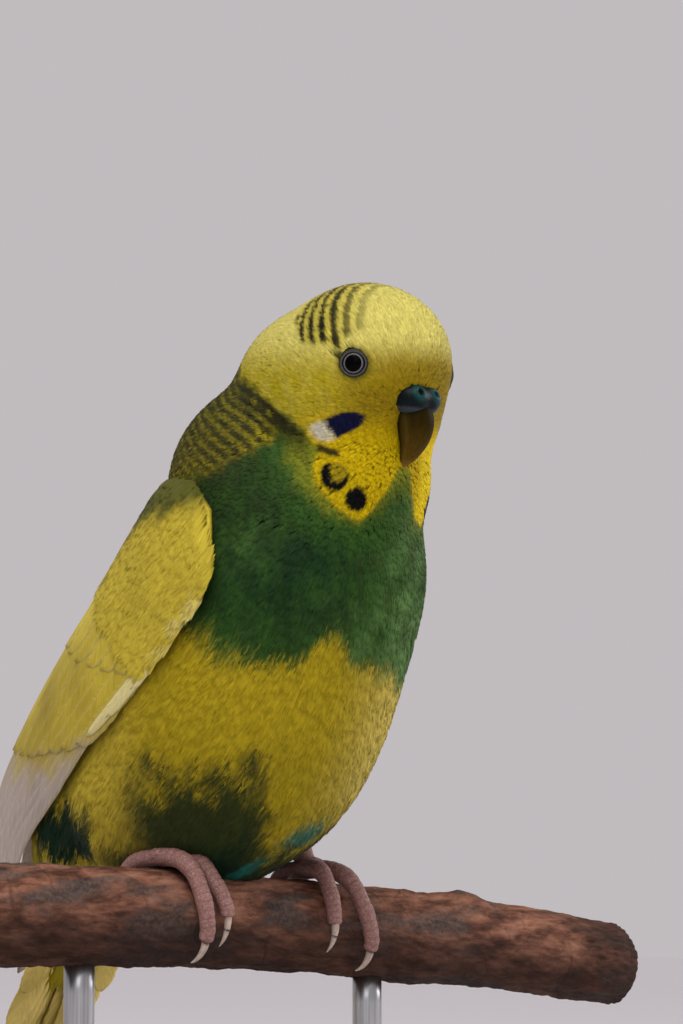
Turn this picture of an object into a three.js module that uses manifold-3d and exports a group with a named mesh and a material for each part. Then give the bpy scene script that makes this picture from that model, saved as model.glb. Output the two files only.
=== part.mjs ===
// A budgerigar at life size, its head a little turned, on a cut length of branch on a plain stand.
// Millimetres. The base lies on z = 0 and +Z is up. The bird faces -Y and its right side is -X.
import * as THREE from 'three';
import { mergeVertices } from 'three/addons/utils/BufferGeometryUtils.js';
import Module from 'manifold-3d';

const wasm = await Module();
wasm.setup();

// Where the bird's own origin lies, the top of the perch between the feet
const BIRD_ORIGIN = [0, -12, 84];
// Free space between nodes that touch
const GAP = 0.3;

// Trunk ellipsoids: centre, radii across, along and deep, tilt of the long axis in degrees
const TRUNK = [
  { centre: [0, -5.8, 31.3], radii: [22.2, 33, 26], tilt: 60 },
  { centre: [0, -15, 46.7], radii: [20.8, 22, 22.2], tilt: 62 },
  { centre: [0, -5.4, 18.6], radii: [17.4, 20, 18.4], tilt: 60 },
  { centre: [0, 1, 8.5], radii: [12, 15, 12], tilt: 58 },
  { centre: [12.5, 1.5, 11.5], radii: [8, 14, 10], tilt: 62 },
  { centre: [-9.5, 2, 12], radii: [8, 14, 10], tilt: 62 },
  { centre: [8.5, 12, 13], radii: [9, 17, 11], tilt: 57 },
  { centre: [-8.5, 12, 13], radii: [9, 17, 11], tilt: 57 },
  { centre: [0, 24, 16], radii: [14.5, 28, 13.5], tilt: 57 },
  { centre: [0, -9.8, 61.5], radii: [16.8, 17, 17.2], tilt: 50 },
];
// Head ellipsoids: centre and radii, forward, to the left and up from the middle of the skull
const SKULL = [
  { centre: [-2, 0, 0.4], radii: [13.6, 12.4, 12.8] },
  { centre: [3.9, 0, 0.5], radii: [9, 9.1, 9.4] },
  { centre: [-1, 6, -8], radii: [8.5, 6.5, 7.5] },
  { centre: [-1, -6, -8], radii: [8.5, 6.5, 7.5] },
  { centre: [0.2, 0, -19], radii: [10, 12, 10.5] },
  { centre: [-12.6, 0, -4.3], radii: [13.2, 12.9, 12.8] },
];
const SKULL_MIDDLE = [0, -32, 79.5];
const HEAD_YAW = 5;
const HEAD_PITCH = 8;
const BLEND = 2.2;

// Line through the trunk from the tail root to the skull, y and z
const SPINE = [[34, -8], [25, 8], [1, 33], [-13, 50], [-23, 65], [-32, 79.5]];
const TAIL_ROOT_AT = 0.8;
const NECK_ROOT_AT = 3.15;
const HEAD_ROOT_AT = 3.85;
const AROUND = 30;
const TORSO_RINGS = 22;
const NECK_RINGS = 5;
const HEAD_RINGS = 12;
const TAIL_STUB_RINGS = 6;

// Wing: lower edge (x, y, z) and back edge (y, z) at matching stations from the bend to the tip
const WING_STATIONS = [
  { low: [-23.0, -22.0, 51.5], back: [-0.9, 70.6] },
  { low: [-24.2, -14.5, 41.0], back: [8.2, 60.9] },
  { low: [-23.4, -2.0, 29.0], back: [18.6, 49.1] },
  { low: [-21.0, 10.5, 19.0], back: [29.6, 38.2] },
  { low: [-17.5, 23.5, 10.0], back: [39.9, 27.4] },
  { low: [-13.0, 36.5, 1.5], back: [49.5, 15.5] },
  { low: [-8.5, 47.5, -9.5], back: [55.5, 1.5] },
  { low: [-5.0, 55.0, -21.5], back: [58.2, -15.5] },
];
const WING_BACK_X = -0.6;
const WING_FULLNESS = 2.35;
// Upper and lower edge of the wing, degrees round from the back, at stations
const WING_TOP = [
  [0, 62], [0.3, 48], [0.6, 36], [1, 26], [1.5, 14], [2, 4], [2.4, 1], [4.4, 1],
  [5.2, 8], [6.2, 26], [7, 58],
];
const WING_LOW = [
  [0, 70], [0.2, 80], [0.4, 87], [0.85, 93], [1.3, 94], [2, 92.5], [3, 88.5], [4, 86.5], [6, 85], [7, 76],
];
const WING_THICKNESS = [[0, 9], [2.5, 8], [3.6, 3.5], [4.3, 1.8], [5, 1.3], [6, 1.0], [7, 0.8]];
const WING_EDGE = 0.9;
const WING_ROWS = 14;
const WING_COLUMNS = 7;
const WING_CLEAR = 0.75;
// The slab the vanes grow from stops short of the tip and lies a little under the vanes
const WING_SLAB_END = 6.3;
const WING_SINK = 0.7;
// Wing vanes by tier: root and tip (station, degrees), half width, raised edge at root and tip
const WING_TIERS = [
  { name: 'primaries', half: 2.9, lift: [0.1, 0.3], vanes: [
    [[3.0, 82], [7.0, 78]], [[3.1, 76], [6.7, 71]], [[3.3, 72], [6.3, 64]],
    [[3.6, 63], [5.8, 54]], [[3.9, 50], [5.2, 40]],
  ] },
  { name: 'secondaries', half: 3.5, lift: [0.2, 0.7], vanes: [
    [[1.5, 85], [3.3, 80]], [[1.5, 77], [3.5, 76]], [[1.6, 68], [3.85, 69]], [[1.7, 57], [4.2, 59]],
    [[1.85, 45], [4.4, 46]], [[2.0, 31], [4.5, 31]], [[2.0, 15], [4.4, 16]],
  ] },
  { name: 'leading_edge', half: 1.3, lift: [0.3, 0.5], vanes: [
    [[1.3, 90], [3.1, 85]], [[0.9, 90], [2.3, 89]],
  ] },
  { name: 'greater_coverts', half: 3.4, lift: [0.3, 1.05], vanes: [
    [[0.95, 87], [2.1, 85]], [[1.05, 78], [2.35, 79]], [[1.2, 67], [2.6, 68]], [[1.3, 54], [2.8, 55]],
    [[1.5, 40], [2.95, 40]], [[1.7, 25], [2.95, 25]], [[1.9, 10], [2.9, 10]],
  ] },
  { name: 'median_coverts', half: 3.5, lift: [0.4, 1.35], vanes: [
    [[0.5, 82], [1.3, 87]], [[0.6, 71], [1.5, 74]], [[0.75, 59], [1.7, 60]],
    [[1.0, 45], [1.9, 45]], [[1.3, 29], [2.05, 29]],
  ] },
];
const VANE_STEPS = 4;
const VANE_DEPTH = 0.55;

const TAIL_AXIS_START = [0, 21.7, 12];
const TAIL_SLOPE = 58.5;
const TAIL_LENGTH = 95;
const TAIL_VANE_ROOT = 16;
const TAIL_STEPS = 5;
const TAIL_THICK = 0.7;
const TAIL_CAMBER = 0.012;
const TAIL_KEEL = 0.12;
// Tail feathers of one side from the middle out: place at root and tip, depth under the first one
const TAIL_VANES = [
  { length: TAIL_LENGTH, half: 3.4, rootOut: 0.5, tipOut: 1.3, under: 0 },
  { length: 78, half: 3.3, rootOut: 1.2, tipOut: 3.4, under: 0.4 },
  { length: 66, half: 3.2, rootOut: 1.9, tipOut: 5.2, under: 0.8 },
  { length: 56, half: 3.1, rootOut: 2.6, tipOut: 6.8, under: 1.2 },
  { length: 48, half: 3.0, rootOut: 3.3, tipOut: 8.2, under: 1.6 },
  { length: 40, half: 2.8, rootOut: 4.0, tipOut: 9.3, under: 2.0 },
];

const EYE_RADIUS = 3.2;
const EYE_OUT = 10.5;
const EYE_TURN = 55.5;
const EYE_RISE = -0.55;
const LID_RADIUS = 2.2;
const LID_TUBE = 0.42;
const LID_OUT = 12.95;

const CERE_LOBE = { centre: [11.6, 1.7, -5.2], radii: [3.0, 2.7, 2.6] };
const NOSTRIL = { centre: [14.3, 2.0, -3.9], radius: 0.62 };

// Bill sections: front and rear point (forward, up), half width
const UPPER_BILL = [
  { front: [13.3, -5.4], rear: [8.0, -6.4], half: 2.6 },
  { front: [14.6, -7.6], rear: [8.4, -9.0], half: 2.9 },
  { front: [14.8, -9.8], rear: [9.0, -11.0], half: 2.75 },
  { front: [14.1, -12.2], rear: [9.4, -12.8], half: 2.2 },
  { front: [12.5, -14.4], rear: [9.3, -14.4], half: 1.45 },
  { front: [10.8, -15.8], rear: [8.9, -15.6], half: 0.8 },
  { front: [9.3, -16.7], rear: [8.6, -16.4], half: 0.3 },
];
const LOWER_BILL = [
  { front: [8.4, -8.6], rear: [3.8, -8.8], half: 2.4 },
  { front: [8.7, -10.8], rear: [4.6, -11.0], half: 2.25 },
  { front: [8.6, -12.6], rear: [5.8, -12.9], half: 1.75 },
  { front: [8.1, -14.0], rear: [6.9, -14.1], half: 1.05 },
];
const BILL_SIDES = 14;

// Perch: a nearly level branch turned a little from the bird's own left and right
const PERCH_TURN = 9;
const PERCH_DROP = 0.05;
const PERCH_TOP = -2.8;
const PERCH_RADIUS = 8;
const PERCH_TAPER = 0.008;
const PERCH_SAG = 0.0005;
const PERCH_LEFT_END = -75;
const PERCH_RIGHT_END = 88;
const PERCH_SIDES = 16;
const PERCH_RINGS = 24;
// Knots and swellings: place along and round, height, reach along and round in degrees
const PERCH_KNOTS = [
  { along: 50, round: 20, high: 1.5, reach: 4.5, turn: 32 },
  { along: -46, round: 70, high: 1.3, reach: 5, turn: 36 },
  { along: 70, round: -60, high: 0.9, reach: 7, turn: 70 },
  { along: -64, round: -30, high: 0.8, reach: 6, turn: 60 },
  { along: 38, round: 150, high: 0.8, reach: 8, turn: 80 },
];

// Feet: place of the ball along the perch, and of the ends of toes 1 to 4
const FEET = {
  left: { ball: 17, ends: [13.5, 15.3, 23.6, 20.5] },
  right: { ball: -13.3, ends: [-10.5, -7.4, -11.2, -17.5] },
};
// Room that the plumage leaves round the feet
const FOOT_ROOM = 0.55;
const BALL = { high: 1.8, radii: [3.1, 3.0, 1.85] };
const SHANK_RADIUS = 1.7;
const SHANK_TOP = [0, 2.0, 4.6];
const LEG_TOP = [-2.5, 4.5, 13.0];
const TOE_SIDES = 6;
const TOE_STEPS = 7;
// Toes: start toward the outside, sweep round the perch in degrees (+ forward), radius at root and end
const TOES = [
  { start: -1.2, sweep: -84, thick: 1.35, thin: 1.05 },
  { start: -1.5, sweep: 88, thick: 1.6, thin: 1.2 },
  { start: 1.3, sweep: 112, thick: 1.65, thin: 1.25 },
  { start: 1.4, sweep: -108, thick: 1.5, thin: 1.15 },
];
const KNUCKLE_LIFT = 0.7;
const CLAW_LENGTH = 5.2;
const CLAW_ARCH = 0.9;
const CLAW_STEPS = 4;
const CLAW_SIDES = 6;

const BASE_RADIUS = 62;
const BASE_HEIGHT = 8;
const BASE_EDGE = 1.2;
const ROD_RADIUS = 2.5;
const ROD_AT = 30;

const LOOKS = {
  plumage_yellow: { color: 0xd9c62a, roughness: 0.85, metalness: 0 },
  plumage_green: { color: 0x2f5a2c, roughness: 0.85, metalness: 0 },
  wing_feathers: { color: 0xd6cc6a, roughness: 0.75, metalness: 0 },
  tail_feathers: { color: 0xd9cf55, roughness: 0.75, metalness: 0 },
  eye: { color: 0x0a0a0c, roughness: 0.08, metalness: 0 },
  cere: { color: 0x24485c, roughness: 0.4, metalness: 0 },
  bill: { color: 0x5a5426, roughness: 0.35, metalness: 0 },
  foot_skin: { color: 0xc79a92, roughness: 0.6, metalness: 0 },
  claw: { color: 0xc9b7a0, roughness: 0.4, metalness: 0 },
  bark: { color: 0x4a3430, roughness: 0.9, metalness: 0 },
  stand: { color: 0x2c2c2e, roughness: 0.5, metalness: 0 },
};

const SIDES = [{ name: 'left', sign: 1 }, { name: 'right', sign: -1 }];

const radians = THREE.MathUtils.degToRad;
const add = (a, b) => [a[0] + b[0], a[1] + b[1], a[2] + b[2]];
const sub = (a, b) => [a[0] - b[0], a[1] - b[1], a[2] - b[2]];
const scale = (a, k) => [a[0] * k, a[1] * k, a[2] * k];
const dot = (a, b) => a[0] * b[0] + a[1] * b[1] + a[2] * b[2];
const cross = (a, b) => [a[1] * b[2] - a[2] * b[1], a[2] * b[0] - a[0] * b[2], a[0] * b[1] - a[1] * b[0]];
const unit = (a) => scale(a, 1 / Math.hypot(...a));
const mix = (a, b, t) => add(scale(a, 1 - t), scale(b, t));
const lerp = THREE.MathUtils.lerp;
const clamp = THREE.MathUtils.clamp;

// Smooth curve through points, t counting the points
function curve(points, t) {
  const last = points.length - 1;
  const i = clamp(Math.floor(t), 0, last - 1);
  const f = t - i;
  const b = points[i];
  const c = points[i + 1];
  const a = i > 0 ? points[i - 1] : b.map((v, k) => 2 * v - c[k]);
  const d = i + 2 <= last ? points[i + 2] : c.map((v, k) => 2 * v - b[k]);
  return b.map((_, k) => 0.5 * (2 * b[k] + (c[k] - a[k]) * f
    + (2 * a[k] - 5 * b[k] + 4 * c[k] - d[k]) * f ** 2
    + (3 * b[k] - a[k] - 3 * c[k] + d[k]) * f ** 3));
}

// Straight interpolation in a table of [at, value]
function table(rows, at) {
  if (at <= rows[0][0]) return rows[0][1];
  for (let i = 1; i < rows.length; i += 1) {
    if (at <= rows[i][0]) {
      const [x0, y0] = rows[i - 1];
      const [x1, y1] = rows[i];
      return lerp(y0, y1, (at - x0) / (x1 - x0));
    }
  }
  return rows.at(-1)[1];
}

// The head's own directions: forward, left and up
const yaw = radians(HEAD_YAW);
const pitch = radians(HEAD_PITCH);
const HEAD_FORWARD = [-Math.sin(yaw) * Math.cos(pitch), -Math.cos(yaw) * Math.cos(pitch), -Math.sin(pitch)];
const HEAD_LEFT = [Math.cos(yaw), -Math.sin(yaw), 0];
const HEAD_UP = cross(HEAD_FORWARD, HEAD_LEFT);
const HEAD_AXES = [HEAD_FORWARD, HEAD_LEFT, HEAD_UP];

function headPoint([forward, left, up]) {
  const sideways = add(scale(HEAD_LEFT, left), scale(HEAD_UP, up));
  return add(SKULL_MIDDLE, add(scale(HEAD_FORWARD, forward), sideways));
}

function trunkAxes(tilt) {
  const c = Math.cos(radians(tilt));
  const s = Math.sin(radians(tilt));
  return [[1, 0, 0], [0, -c, s], [0, s, c]];
}

const FORMS = [
  ...TRUNK.map((e) => ({ centre: e.centre, radii: e.radii, axes: trunkAxes(e.tilt) })),
  ...SKULL.map((e) => ({ centre: headPoint(e.centre), radii: e.radii, axes: HEAD_AXES })),
];

// Distance to the plumage surface, negative inside
function plumage(point) {
  const distances = FORMS.map(({ centre, radii, axes }) => {
    const p = sub(point, centre);
    const q = axes.map((axis) => dot(p, axis));
    const near = Math.hypot(...q.map((v, k) => v / radii[k]));
    const steep = Math.hypot(...q.map((v, k) => v / radii[k] ** 2));
    return steep > 1e-9 ? near * (near - 1) / steep : -Math.min(...radii);
  });
  const low = Math.min(...distances);
  const sum = distances.reduce((total, d) => total + Math.exp((low - d) / BLEND), 0);
  return low - BLEND * Math.log(sum);
}

// Where a ray from inside first crosses a level of the plumage field
function crossing(origin, direction, level = 0) {
  const at = (r) => plumage(add(origin, scale(direction, r)));
  let near = 0;
  while (at(near + 1) < level && near < 80) near += 1;
  let far = near + 1;
  for (let i = 0; i < 14; i += 1) {
    const middle = (near + far) / 2;
    if (at(middle) < level) near = middle;
    else far = middle;
  }
  return add(origin, scale(direction, (near + far) / 2));
}

function spineFrame(at, shift = 0) {
  const place = ([y, z]) => [0, y, z];
  const step = 0.01;
  const along = unit(sub(place(curve(SPINE, at + step)), place(curve(SPINE, at - step))));
  const side = [1, 0, 0];
  return { centre: add(place(curve(SPINE, at)), scale(along, shift)), along, side, up: cross(side, along) };
}

function ray({ side, up }, j) {
  const angle = 2 * Math.PI * j / AROUND;
  return add(scale(up, Math.cos(angle)), scale(side, Math.sin(angle)));
}

const indices = (count) => Array.from({ length: count }, (_, i) => i);

function ring(frame, level = 0) {
  return indices(AROUND).map((j) => crossing(frame.centre, ray(frame, j), level));
}

function geometryOf(points, faces) {
  let volume = 0;
  for (const [a, b, c] of faces) volume += dot(points[a], cross(points[b], points[c]));
  const geometry = new THREE.BufferGeometry();
  geometry.setAttribute('position', new THREE.Float32BufferAttribute(points.flat(), 3));
  geometry.setIndex((volume < 0 ? faces.map(([a, b, c]) => [a, c, b]) : faces).flat());
  return geometry;
}

// A closed solid through rings of equal count, each end closed by a fan to a point
function loft(rings, start, end) {
  const count = rings[0].length;
  const points = [...rings.flat(), start, end];
  const first = rings.length * count;
  const faces = [];
  for (let i = 0; i + 1 < rings.length; i += 1) {
    for (let j = 0; j < count; j += 1) {
      const k = (j + 1) % count;
      const [a, b, c, d] = [i * count + j, i * count + k, (i + 1) * count + k, (i + 1) * count + j];
      faces.push([a, b, c], [a, c, d]);
    }
  }
  for (let j = 0; j < count; j += 1) {
    const k = (j + 1) % count;
    const top = (rings.length - 1) * count;
    faces.push([first, k, j], [first + 1, top + j, top + k]);
  }
  return geometryOf(points, faces);
}

const middleOf = (points) => scale(points.reduce(add), 1 / points.length);
const capped = (rings) => loft(rings, middleOf(rings[0]), middleOf(rings.at(-1)));

// Shared corners and no faces without area
function cleaned(geometry) {
  const bare = geometry.clone();
  bare.deleteAttribute('normal');
  bare.deleteAttribute('uv');
  const merged = mergeVertices(bare, 1e-5);
  const corners = Array.from(merged.index.array);
  const faces = indices(corners.length / 3).map((i) => corners.slice(3 * i, 3 * i + 3));
  merged.setIndex(faces.filter(([a, b, c]) => a !== b && b !== c && c !== a).flat());
  return merged;
}

function solid(geometry) {
  const merged = cleaned(geometry);
  return new wasm.Manifold(new wasm.Mesh({
    numProp: 3,
    vertProperties: new Float32Array(merged.attributes.position.array),
    triVerts: new Uint32Array(merged.index.array),
  }));
}

function volumeOf({ vertProperties: v, triVerts: t }) {
  const corner = (i) => [v[3 * i], v[3 * i + 1], v[3 * i + 2]];
  let volume = 0;
  for (let i = 0; i < t.length; i += 3) {
    volume += dot(corner(t[i]), cross(corner(t[i + 1]), corner(t[i + 2]))) / 6;
  }
  return volume;
}

// The largest closed piece of a joined or cut solid
function geometryFrom(manifold) {
  const pieces = manifold.decompose().map((piece) => piece.getMesh());
  const largest = pieces.reduce((best, mesh) => (volumeOf(mesh) > volumeOf(best) ? mesh : best));
  const geometry = new THREE.BufferGeometry();
  geometry.setAttribute('position', new THREE.Float32BufferAttribute(largest.vertProperties, 3));
  geometry.setIndex(Array.from(largest.triVerts));
  return geometry;
}

// Geometry turned, stretched and put in place by three directions
function placed(geometry, centre, [ax, ay, az], radii = [1, 1, 1]) {
  const matrix = new THREE.Matrix4().makeBasis(
    new THREE.Vector3(...scale(ax, radii[0])),
    new THREE.Vector3(...scale(ay, radii[1])),
    new THREE.Vector3(...scale(az, radii[2])),
  );
  matrix.setPosition(...centre);
  return geometry.clone().applyMatrix4(matrix);
}

function headEllipsoid({ centre, radii }, grow = 0, detail = 18) {
  const ball = new THREE.SphereGeometry(1, detail, Math.round(detail * 0.6));
  return placed(ball, headPoint(centre), HEAD_AXES, radii.map((r) => r + grow));
}

// Trunk and neck
function trunkPiece(from, to, count, shift) {
  const rings = indices(count).map((i) => {
    const at = lerp(from, to, i / (count - 1));
    return ring(spineFrame(at, i === 0 ? shift : 0));
  });
  const ends = [spineFrame(from, shift).centre, spineFrame(to).centre];
  return loft(rings, ...ends);
}

// Head: rays from the middle of the skull, turning from the neck's ring to the crown
function headShell() {
  const frame = spineFrame(HEAD_ROOT_AT, GAP);
  const neckRing = ring(frame);
  const pole = unit(sub(SKULL_MIDDLE, frame.centre));
  const rings = [neckRing];
  for (let i = 1; i < HEAD_RINGS; i += 1) {
    const t = i / HEAD_RINGS;
    rings.push(neckRing.map((point) => {
      const from = new THREE.Vector3(...unit(sub(point, SKULL_MIDDLE)));
      const to = new THREE.Vector3(...pole);
      const turn = new THREE.Quaternion().setFromUnitVectors(from, to);
      const part = new THREE.Quaternion().slerp(turn, t);
      return crossing(SKULL_MIDDLE, from.applyQuaternion(part).toArray());
    }));
  }
  return loft(rings, frame.centre, crossing(SKULL_MIDDLE, pole));
}

// Eyes
function eyeAxis(side) {
  const turn = radians(EYE_TURN);
  return [Math.cos(turn), side * Math.sin(turn), 0];
}

function eyeMiddle(side) {
  const [forward, left] = eyeAxis(side);
  return headPoint([forward * EYE_OUT, left * EYE_OUT, EYE_RISE]);
}

function eyeBall(side, grow = 0) {
  const ball = new THREE.SphereGeometry(EYE_RADIUS + grow, 14, 8);
  return placed(ball, eyeMiddle(side), HEAD_AXES);
}

function lid(side) {
  const [forward, left] = eyeAxis(side);
  const out = add(scale(HEAD_FORWARD, forward), scale(HEAD_LEFT, left));
  const centre = headPoint([forward * LID_OUT, left * LID_OUT, EYE_RISE]);
  const across = cross(HEAD_UP, out);
  return placed(new THREE.TorusGeometry(LID_RADIUS, LID_TUBE, 5, 16), centre, [across, HEAD_UP, out]);
}

// Cere with two nostrils
function cereSolid(grow = 0) {
  const lobes = [1, -1].map((side) => {
    const [forward, left, up] = CERE_LOBE.centre;
    return solid(headEllipsoid({ centre: [forward, left * side, up], radii: CERE_LOBE.radii }, grow, 10));
  });
  return lobes[0].add(lobes[1]);
}

function nostril(side) {
  const [forward, left, up] = NOSTRIL.centre;
  const radii = [NOSTRIL.radius, NOSTRIL.radius, NOSTRIL.radius];
  return solid(headEllipsoid({ centre: [forward, left * side, up], radii }, 0, 8));
}

// Bill halves as rings through front and rear points
function bill(sections, rows, grow = 0) {
  const flat = sections.map(({ front, rear, half }) => [...front, ...rear, half]);
  const rings = indices(rows).map((i) => {
    const [ff, fu, rf, ru, half] = curve(flat, (sections.length - 1) * i / (rows - 1));
    const middle = [(ff + rf) / 2, (fu + ru) / 2];
    const reach = [(ff - rf) / 2, (fu - ru) / 2];
    const long = 1 + grow / Math.hypot(...reach);
    return indices(BILL_SIDES).map((j) => {
      const angle = 2 * Math.PI * j / BILL_SIDES;
      const c = Math.cos(angle) * long;
      const s = Math.sin(angle) * (half + grow);
      return headPoint([middle[0] + reach[0] * c, s, middle[1] + reach[1] * c]);
    });
  });
  return capped(rings);
}

// Wing surface, right side: station u and degrees round from the back
function wingCarrier(u, degrees) {
  const low = curve(WING_STATIONS.map((s) => s.low), u);
  const [backY, backZ] = curve(WING_STATIONS.map((s) => s.back), u);
  const corner = [WING_BACK_X, low[1], low[2]];
  const toBack = sub([WING_BACK_X, backY, backZ], corner);
  const toLow = sub(low, corner);
  const c = Math.cos(radians(degrees));
  const s = Math.sin(radians(degrees));
  const full = (Math.abs(c) ** WING_FULLNESS + Math.abs(s) ** WING_FULLNESS) ** (-1 / WING_FULLNESS);
  return add(corner, add(scale(toBack, c * full), scale(toLow, s * full)));
}

function wingNormal(u, degrees) {
  const along = sub(wingCarrier(u + 0.02, degrees), wingCarrier(u - 0.02, degrees));
  const round = sub(wingCarrier(u, degrees + 0.5), wingCarrier(u, degrees - 0.5));
  return unit(cross(along, round));
}

// The wing's inner skin on the carrier, clear of the trunk, with the way out and the room to the surface
function wingPlace(u, degrees) {
  const surface = wingCarrier(u, degrees);
  const normal = wingNormal(u, degrees);
  let inner = add(surface, scale(normal, -table(WING_THICKNESS, u)));
  while (plumage(inner) < WING_CLEAR) inner = add(inner, scale(normal, 0.05));
  return { inner, normal, room: Math.max(WING_EDGE, dot(sub(surface, inner), normal)) };
}

function wingSkins(u, v) {
  const span = table(WING_LOW, u) - table(WING_TOP, u);
  const { inner, normal, room } = wingPlace(u, table(WING_TOP, u) + v * span);
  const width = 0.35 * span;
  const fromEdge = Math.min(v * width / 2.4, (1 - v) * width / 1.2, 0.25 + u * 2.5);
  const rounded = Math.sqrt(1 - (1 - clamp(fromEdge, 0, 1)) ** 2);
  const height = Math.max(WING_EDGE, lerp(WING_EDGE, room - WING_SINK, rounded));
  return [inner, add(inner, scale(normal, height))];
}

function wingSlab() {
  const rings = indices(WING_ROWS).map((i) => {
    const u = WING_SLAB_END * (i / (WING_ROWS - 1)) ** 1.15;
    const pairs = indices(WING_COLUMNS).map((j) => wingSkins(u, j / (WING_COLUMNS - 1)));
    return [...pairs.map((p) => p[1]), ...pairs.map((p) => p[0]).reverse()];
  });
  return capped(rings);
}

// Outline of a vane: a share of its half width at a share of its length
function vaneWidth(t) {
  const base = 0.75 + 0.25 * Math.min(1, t / 0.4);
  return t < 0.7 ? base : base * Math.sqrt(Math.max(0.06, 1 - ((t - 0.7) / 0.3) ** 2));
}

// A vane lies along the wing's surface, its lower edge raised over the next one
function wingVane([[u0, d0], [u1, d1]], half, [liftRoot, liftTip]) {
  const rings = indices(VANE_STEPS + 1).map((i) => {
    const t = (i / VANE_STEPS) ** 0.85;
    const u = lerp(u0, u1, t);
    const degrees = lerp(d0, d1, t);
    const perDegree = Math.hypot(...sub(wingCarrier(u, degrees + 0.5), wingCarrier(u, degrees - 0.5)));
    const wide = half * vaneWidth(t) / perDegree;
    const lift = lerp(liftRoot, liftTip, t) * Math.min(1, t * 4);
    const across = [-1, 0, 1].map((k) => {
      const { inner, normal, room } = wingPlace(u, Math.max(1, degrees + k * wide));
      const top = room - WING_SINK + lift * (0.6 + 0.4 * k);
      const under = Math.max(0, top - VANE_DEPTH - lift * 0.6);
      return [add(inner, scale(normal, top)), add(inner, scale(normal, under))];
    });
    return [...across.map((p) => p[0]), ...across.map((p) => p[1]).reverse()];
  });
  return capped(rings);
}

function wingSolid() {
  const vanes = WING_TIERS.flatMap(({ half, lift, vanes: tier }) => (
    tier.map((line) => solid(wingVane(line, half, lift)))
  ));
  return vanes.reduce((sum, vane) => sum.add(vane), solid(wingSlab()));
}

// Tail
const TAIL_DOWN = [0, Math.cos(radians(TAIL_SLOPE)), -Math.sin(radians(TAIL_SLOPE))];
const TAIL_BACK = [0, Math.sin(radians(TAIL_SLOPE)), Math.cos(radians(TAIL_SLOPE))];
const tailPoint = (along, across, out) => add(
  TAIL_AXIS_START,
  add(scale(TAIL_DOWN, along), [across, TAIL_BACK[1] * out, TAIL_BACK[2] * out]),
);

function tailStub() {
  const frame = spineFrame(TAIL_ROOT_AT, -GAP);
  const rootRing = ring(frame);
  const rings = [rootRing];
  for (let i = 1; i < TAIL_STUB_RINGS; i += 1) {
    const turn = Math.PI / 2 * i / TAIL_STUB_RINGS;
    rings.push(indices(AROUND).map((j) => {
      const outward = scale(ray(frame, j), Math.cos(turn));
      return crossing(frame.centre, unit(add(outward, scale(frame.along, -Math.sin(turn)))));
    }));
  }
  return loft(rings, frame.centre, crossing(frame.centre, scale(frame.along, -1)));
}

// One tail feather: a thin plate, its middle raised, lying under its inner neighbour
function tailVane({ length, half, rootOut, tipOut, under }, sign) {
  const rings = indices(TAIL_STEPS + 1).map((i) => {
    const t = (i / TAIL_STEPS) ** 0.85;
    const along = lerp(TAIL_VANE_ROOT, length, t);
    const middle = sign * lerp(rootOut, tipOut, t);
    const wide = half * vaneWidth(t);
    const across = [-1, 0, 1].map((k) => {
      const x = middle + k * wide;
      const height = -under - TAIL_CAMBER * x ** 2 - (k === 0 ? 0 : TAIL_KEEL);
      return [tailPoint(along, x, height + TAIL_THICK / 2), tailPoint(along, x, height - TAIL_THICK / 2)];
    });
    return [...across.map((p) => p[0]), ...across.map((p) => p[1]).reverse()];
  });
  return capped(rings);
}

function tailSolid() {
  const vanes = TAIL_VANES.flatMap((vane) => SIDES.map(({ sign }) => solid(tailVane(vane, sign))));
  return vanes.reduce((sum, vane) => sum.add(vane), solid(tailStub()));
}

// Perch, in places along it and degrees round from its top, + toward the bird's front
const perchTurn = radians(PERCH_TURN);
const PERCH_ALONG = unit([Math.cos(perchTurn), -Math.sin(perchTurn), -PERCH_DROP]);
const PERCH_FRONT = unit(cross([0, 0, -1], PERCH_ALONG));
const PERCH_UP = cross(PERCH_ALONG, scale(PERCH_FRONT, -1));

function perchMiddle(along) {
  const line = add([0, 0, PERCH_TOP - PERCH_RADIUS], scale(PERCH_ALONG, along));
  return add(line, [0, 0, -PERCH_SAG * along ** 2]);
}

function perchRadius(along, round) {
  let radius = PERCH_RADIUS - PERCH_TAPER * along;
  for (const knot of PERCH_KNOTS) {
    const turn = THREE.MathUtils.euclideanModulo(round - knot.round + 180, 360) - 180;
    const far = ((along - knot.along) / knot.reach) ** 2 + (turn / knot.turn) ** 2;
    radius += knot.high * Math.exp(-far);
  }
  return radius;
}

function perchPoint(along, round, off) {
  const angle = radians(round);
  const out = add(scale(PERCH_UP, Math.cos(angle)), scale(PERCH_FRONT, Math.sin(angle)));
  return add(perchMiddle(along), scale(out, off));
}

function perchSolid(grow = 0) {
  const rings = indices(PERCH_RINGS).map((i) => {
    const along = lerp(PERCH_LEFT_END, PERCH_RIGHT_END, i / (PERCH_RINGS - 1));
    const rim = i === 0 || i === PERCH_RINGS - 1 ? 0.86 : 1;
    return indices(PERCH_SIDES).map((j) => {
      const round = 360 * j / PERCH_SIDES;
      return perchPoint(along, round, (perchRadius(along, round) + grow) * rim);
    });
  });
  return capped(rings);
}

// Tube through centres with given radii
function tube(centres, radii, sides) {
  const rings = centres.map((centre, i) => {
    const ahead = centres[Math.min(i + 1, centres.length - 1)];
    const behind = centres[Math.max(i - 1, 0)];
    const along = unit(sub(ahead, behind));
    const first = unit(cross(along, PERCH_ALONG));
    const second = cross(along, first);
    return indices(sides).map((j) => {
      const angle = 2 * Math.PI * j / sides;
      const out = add(scale(first, Math.cos(angle)), scale(second, Math.sin(angle)));
      return add(centre, scale(out, radii[i]));
    });
  });
  return capped(rings);
}

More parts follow.
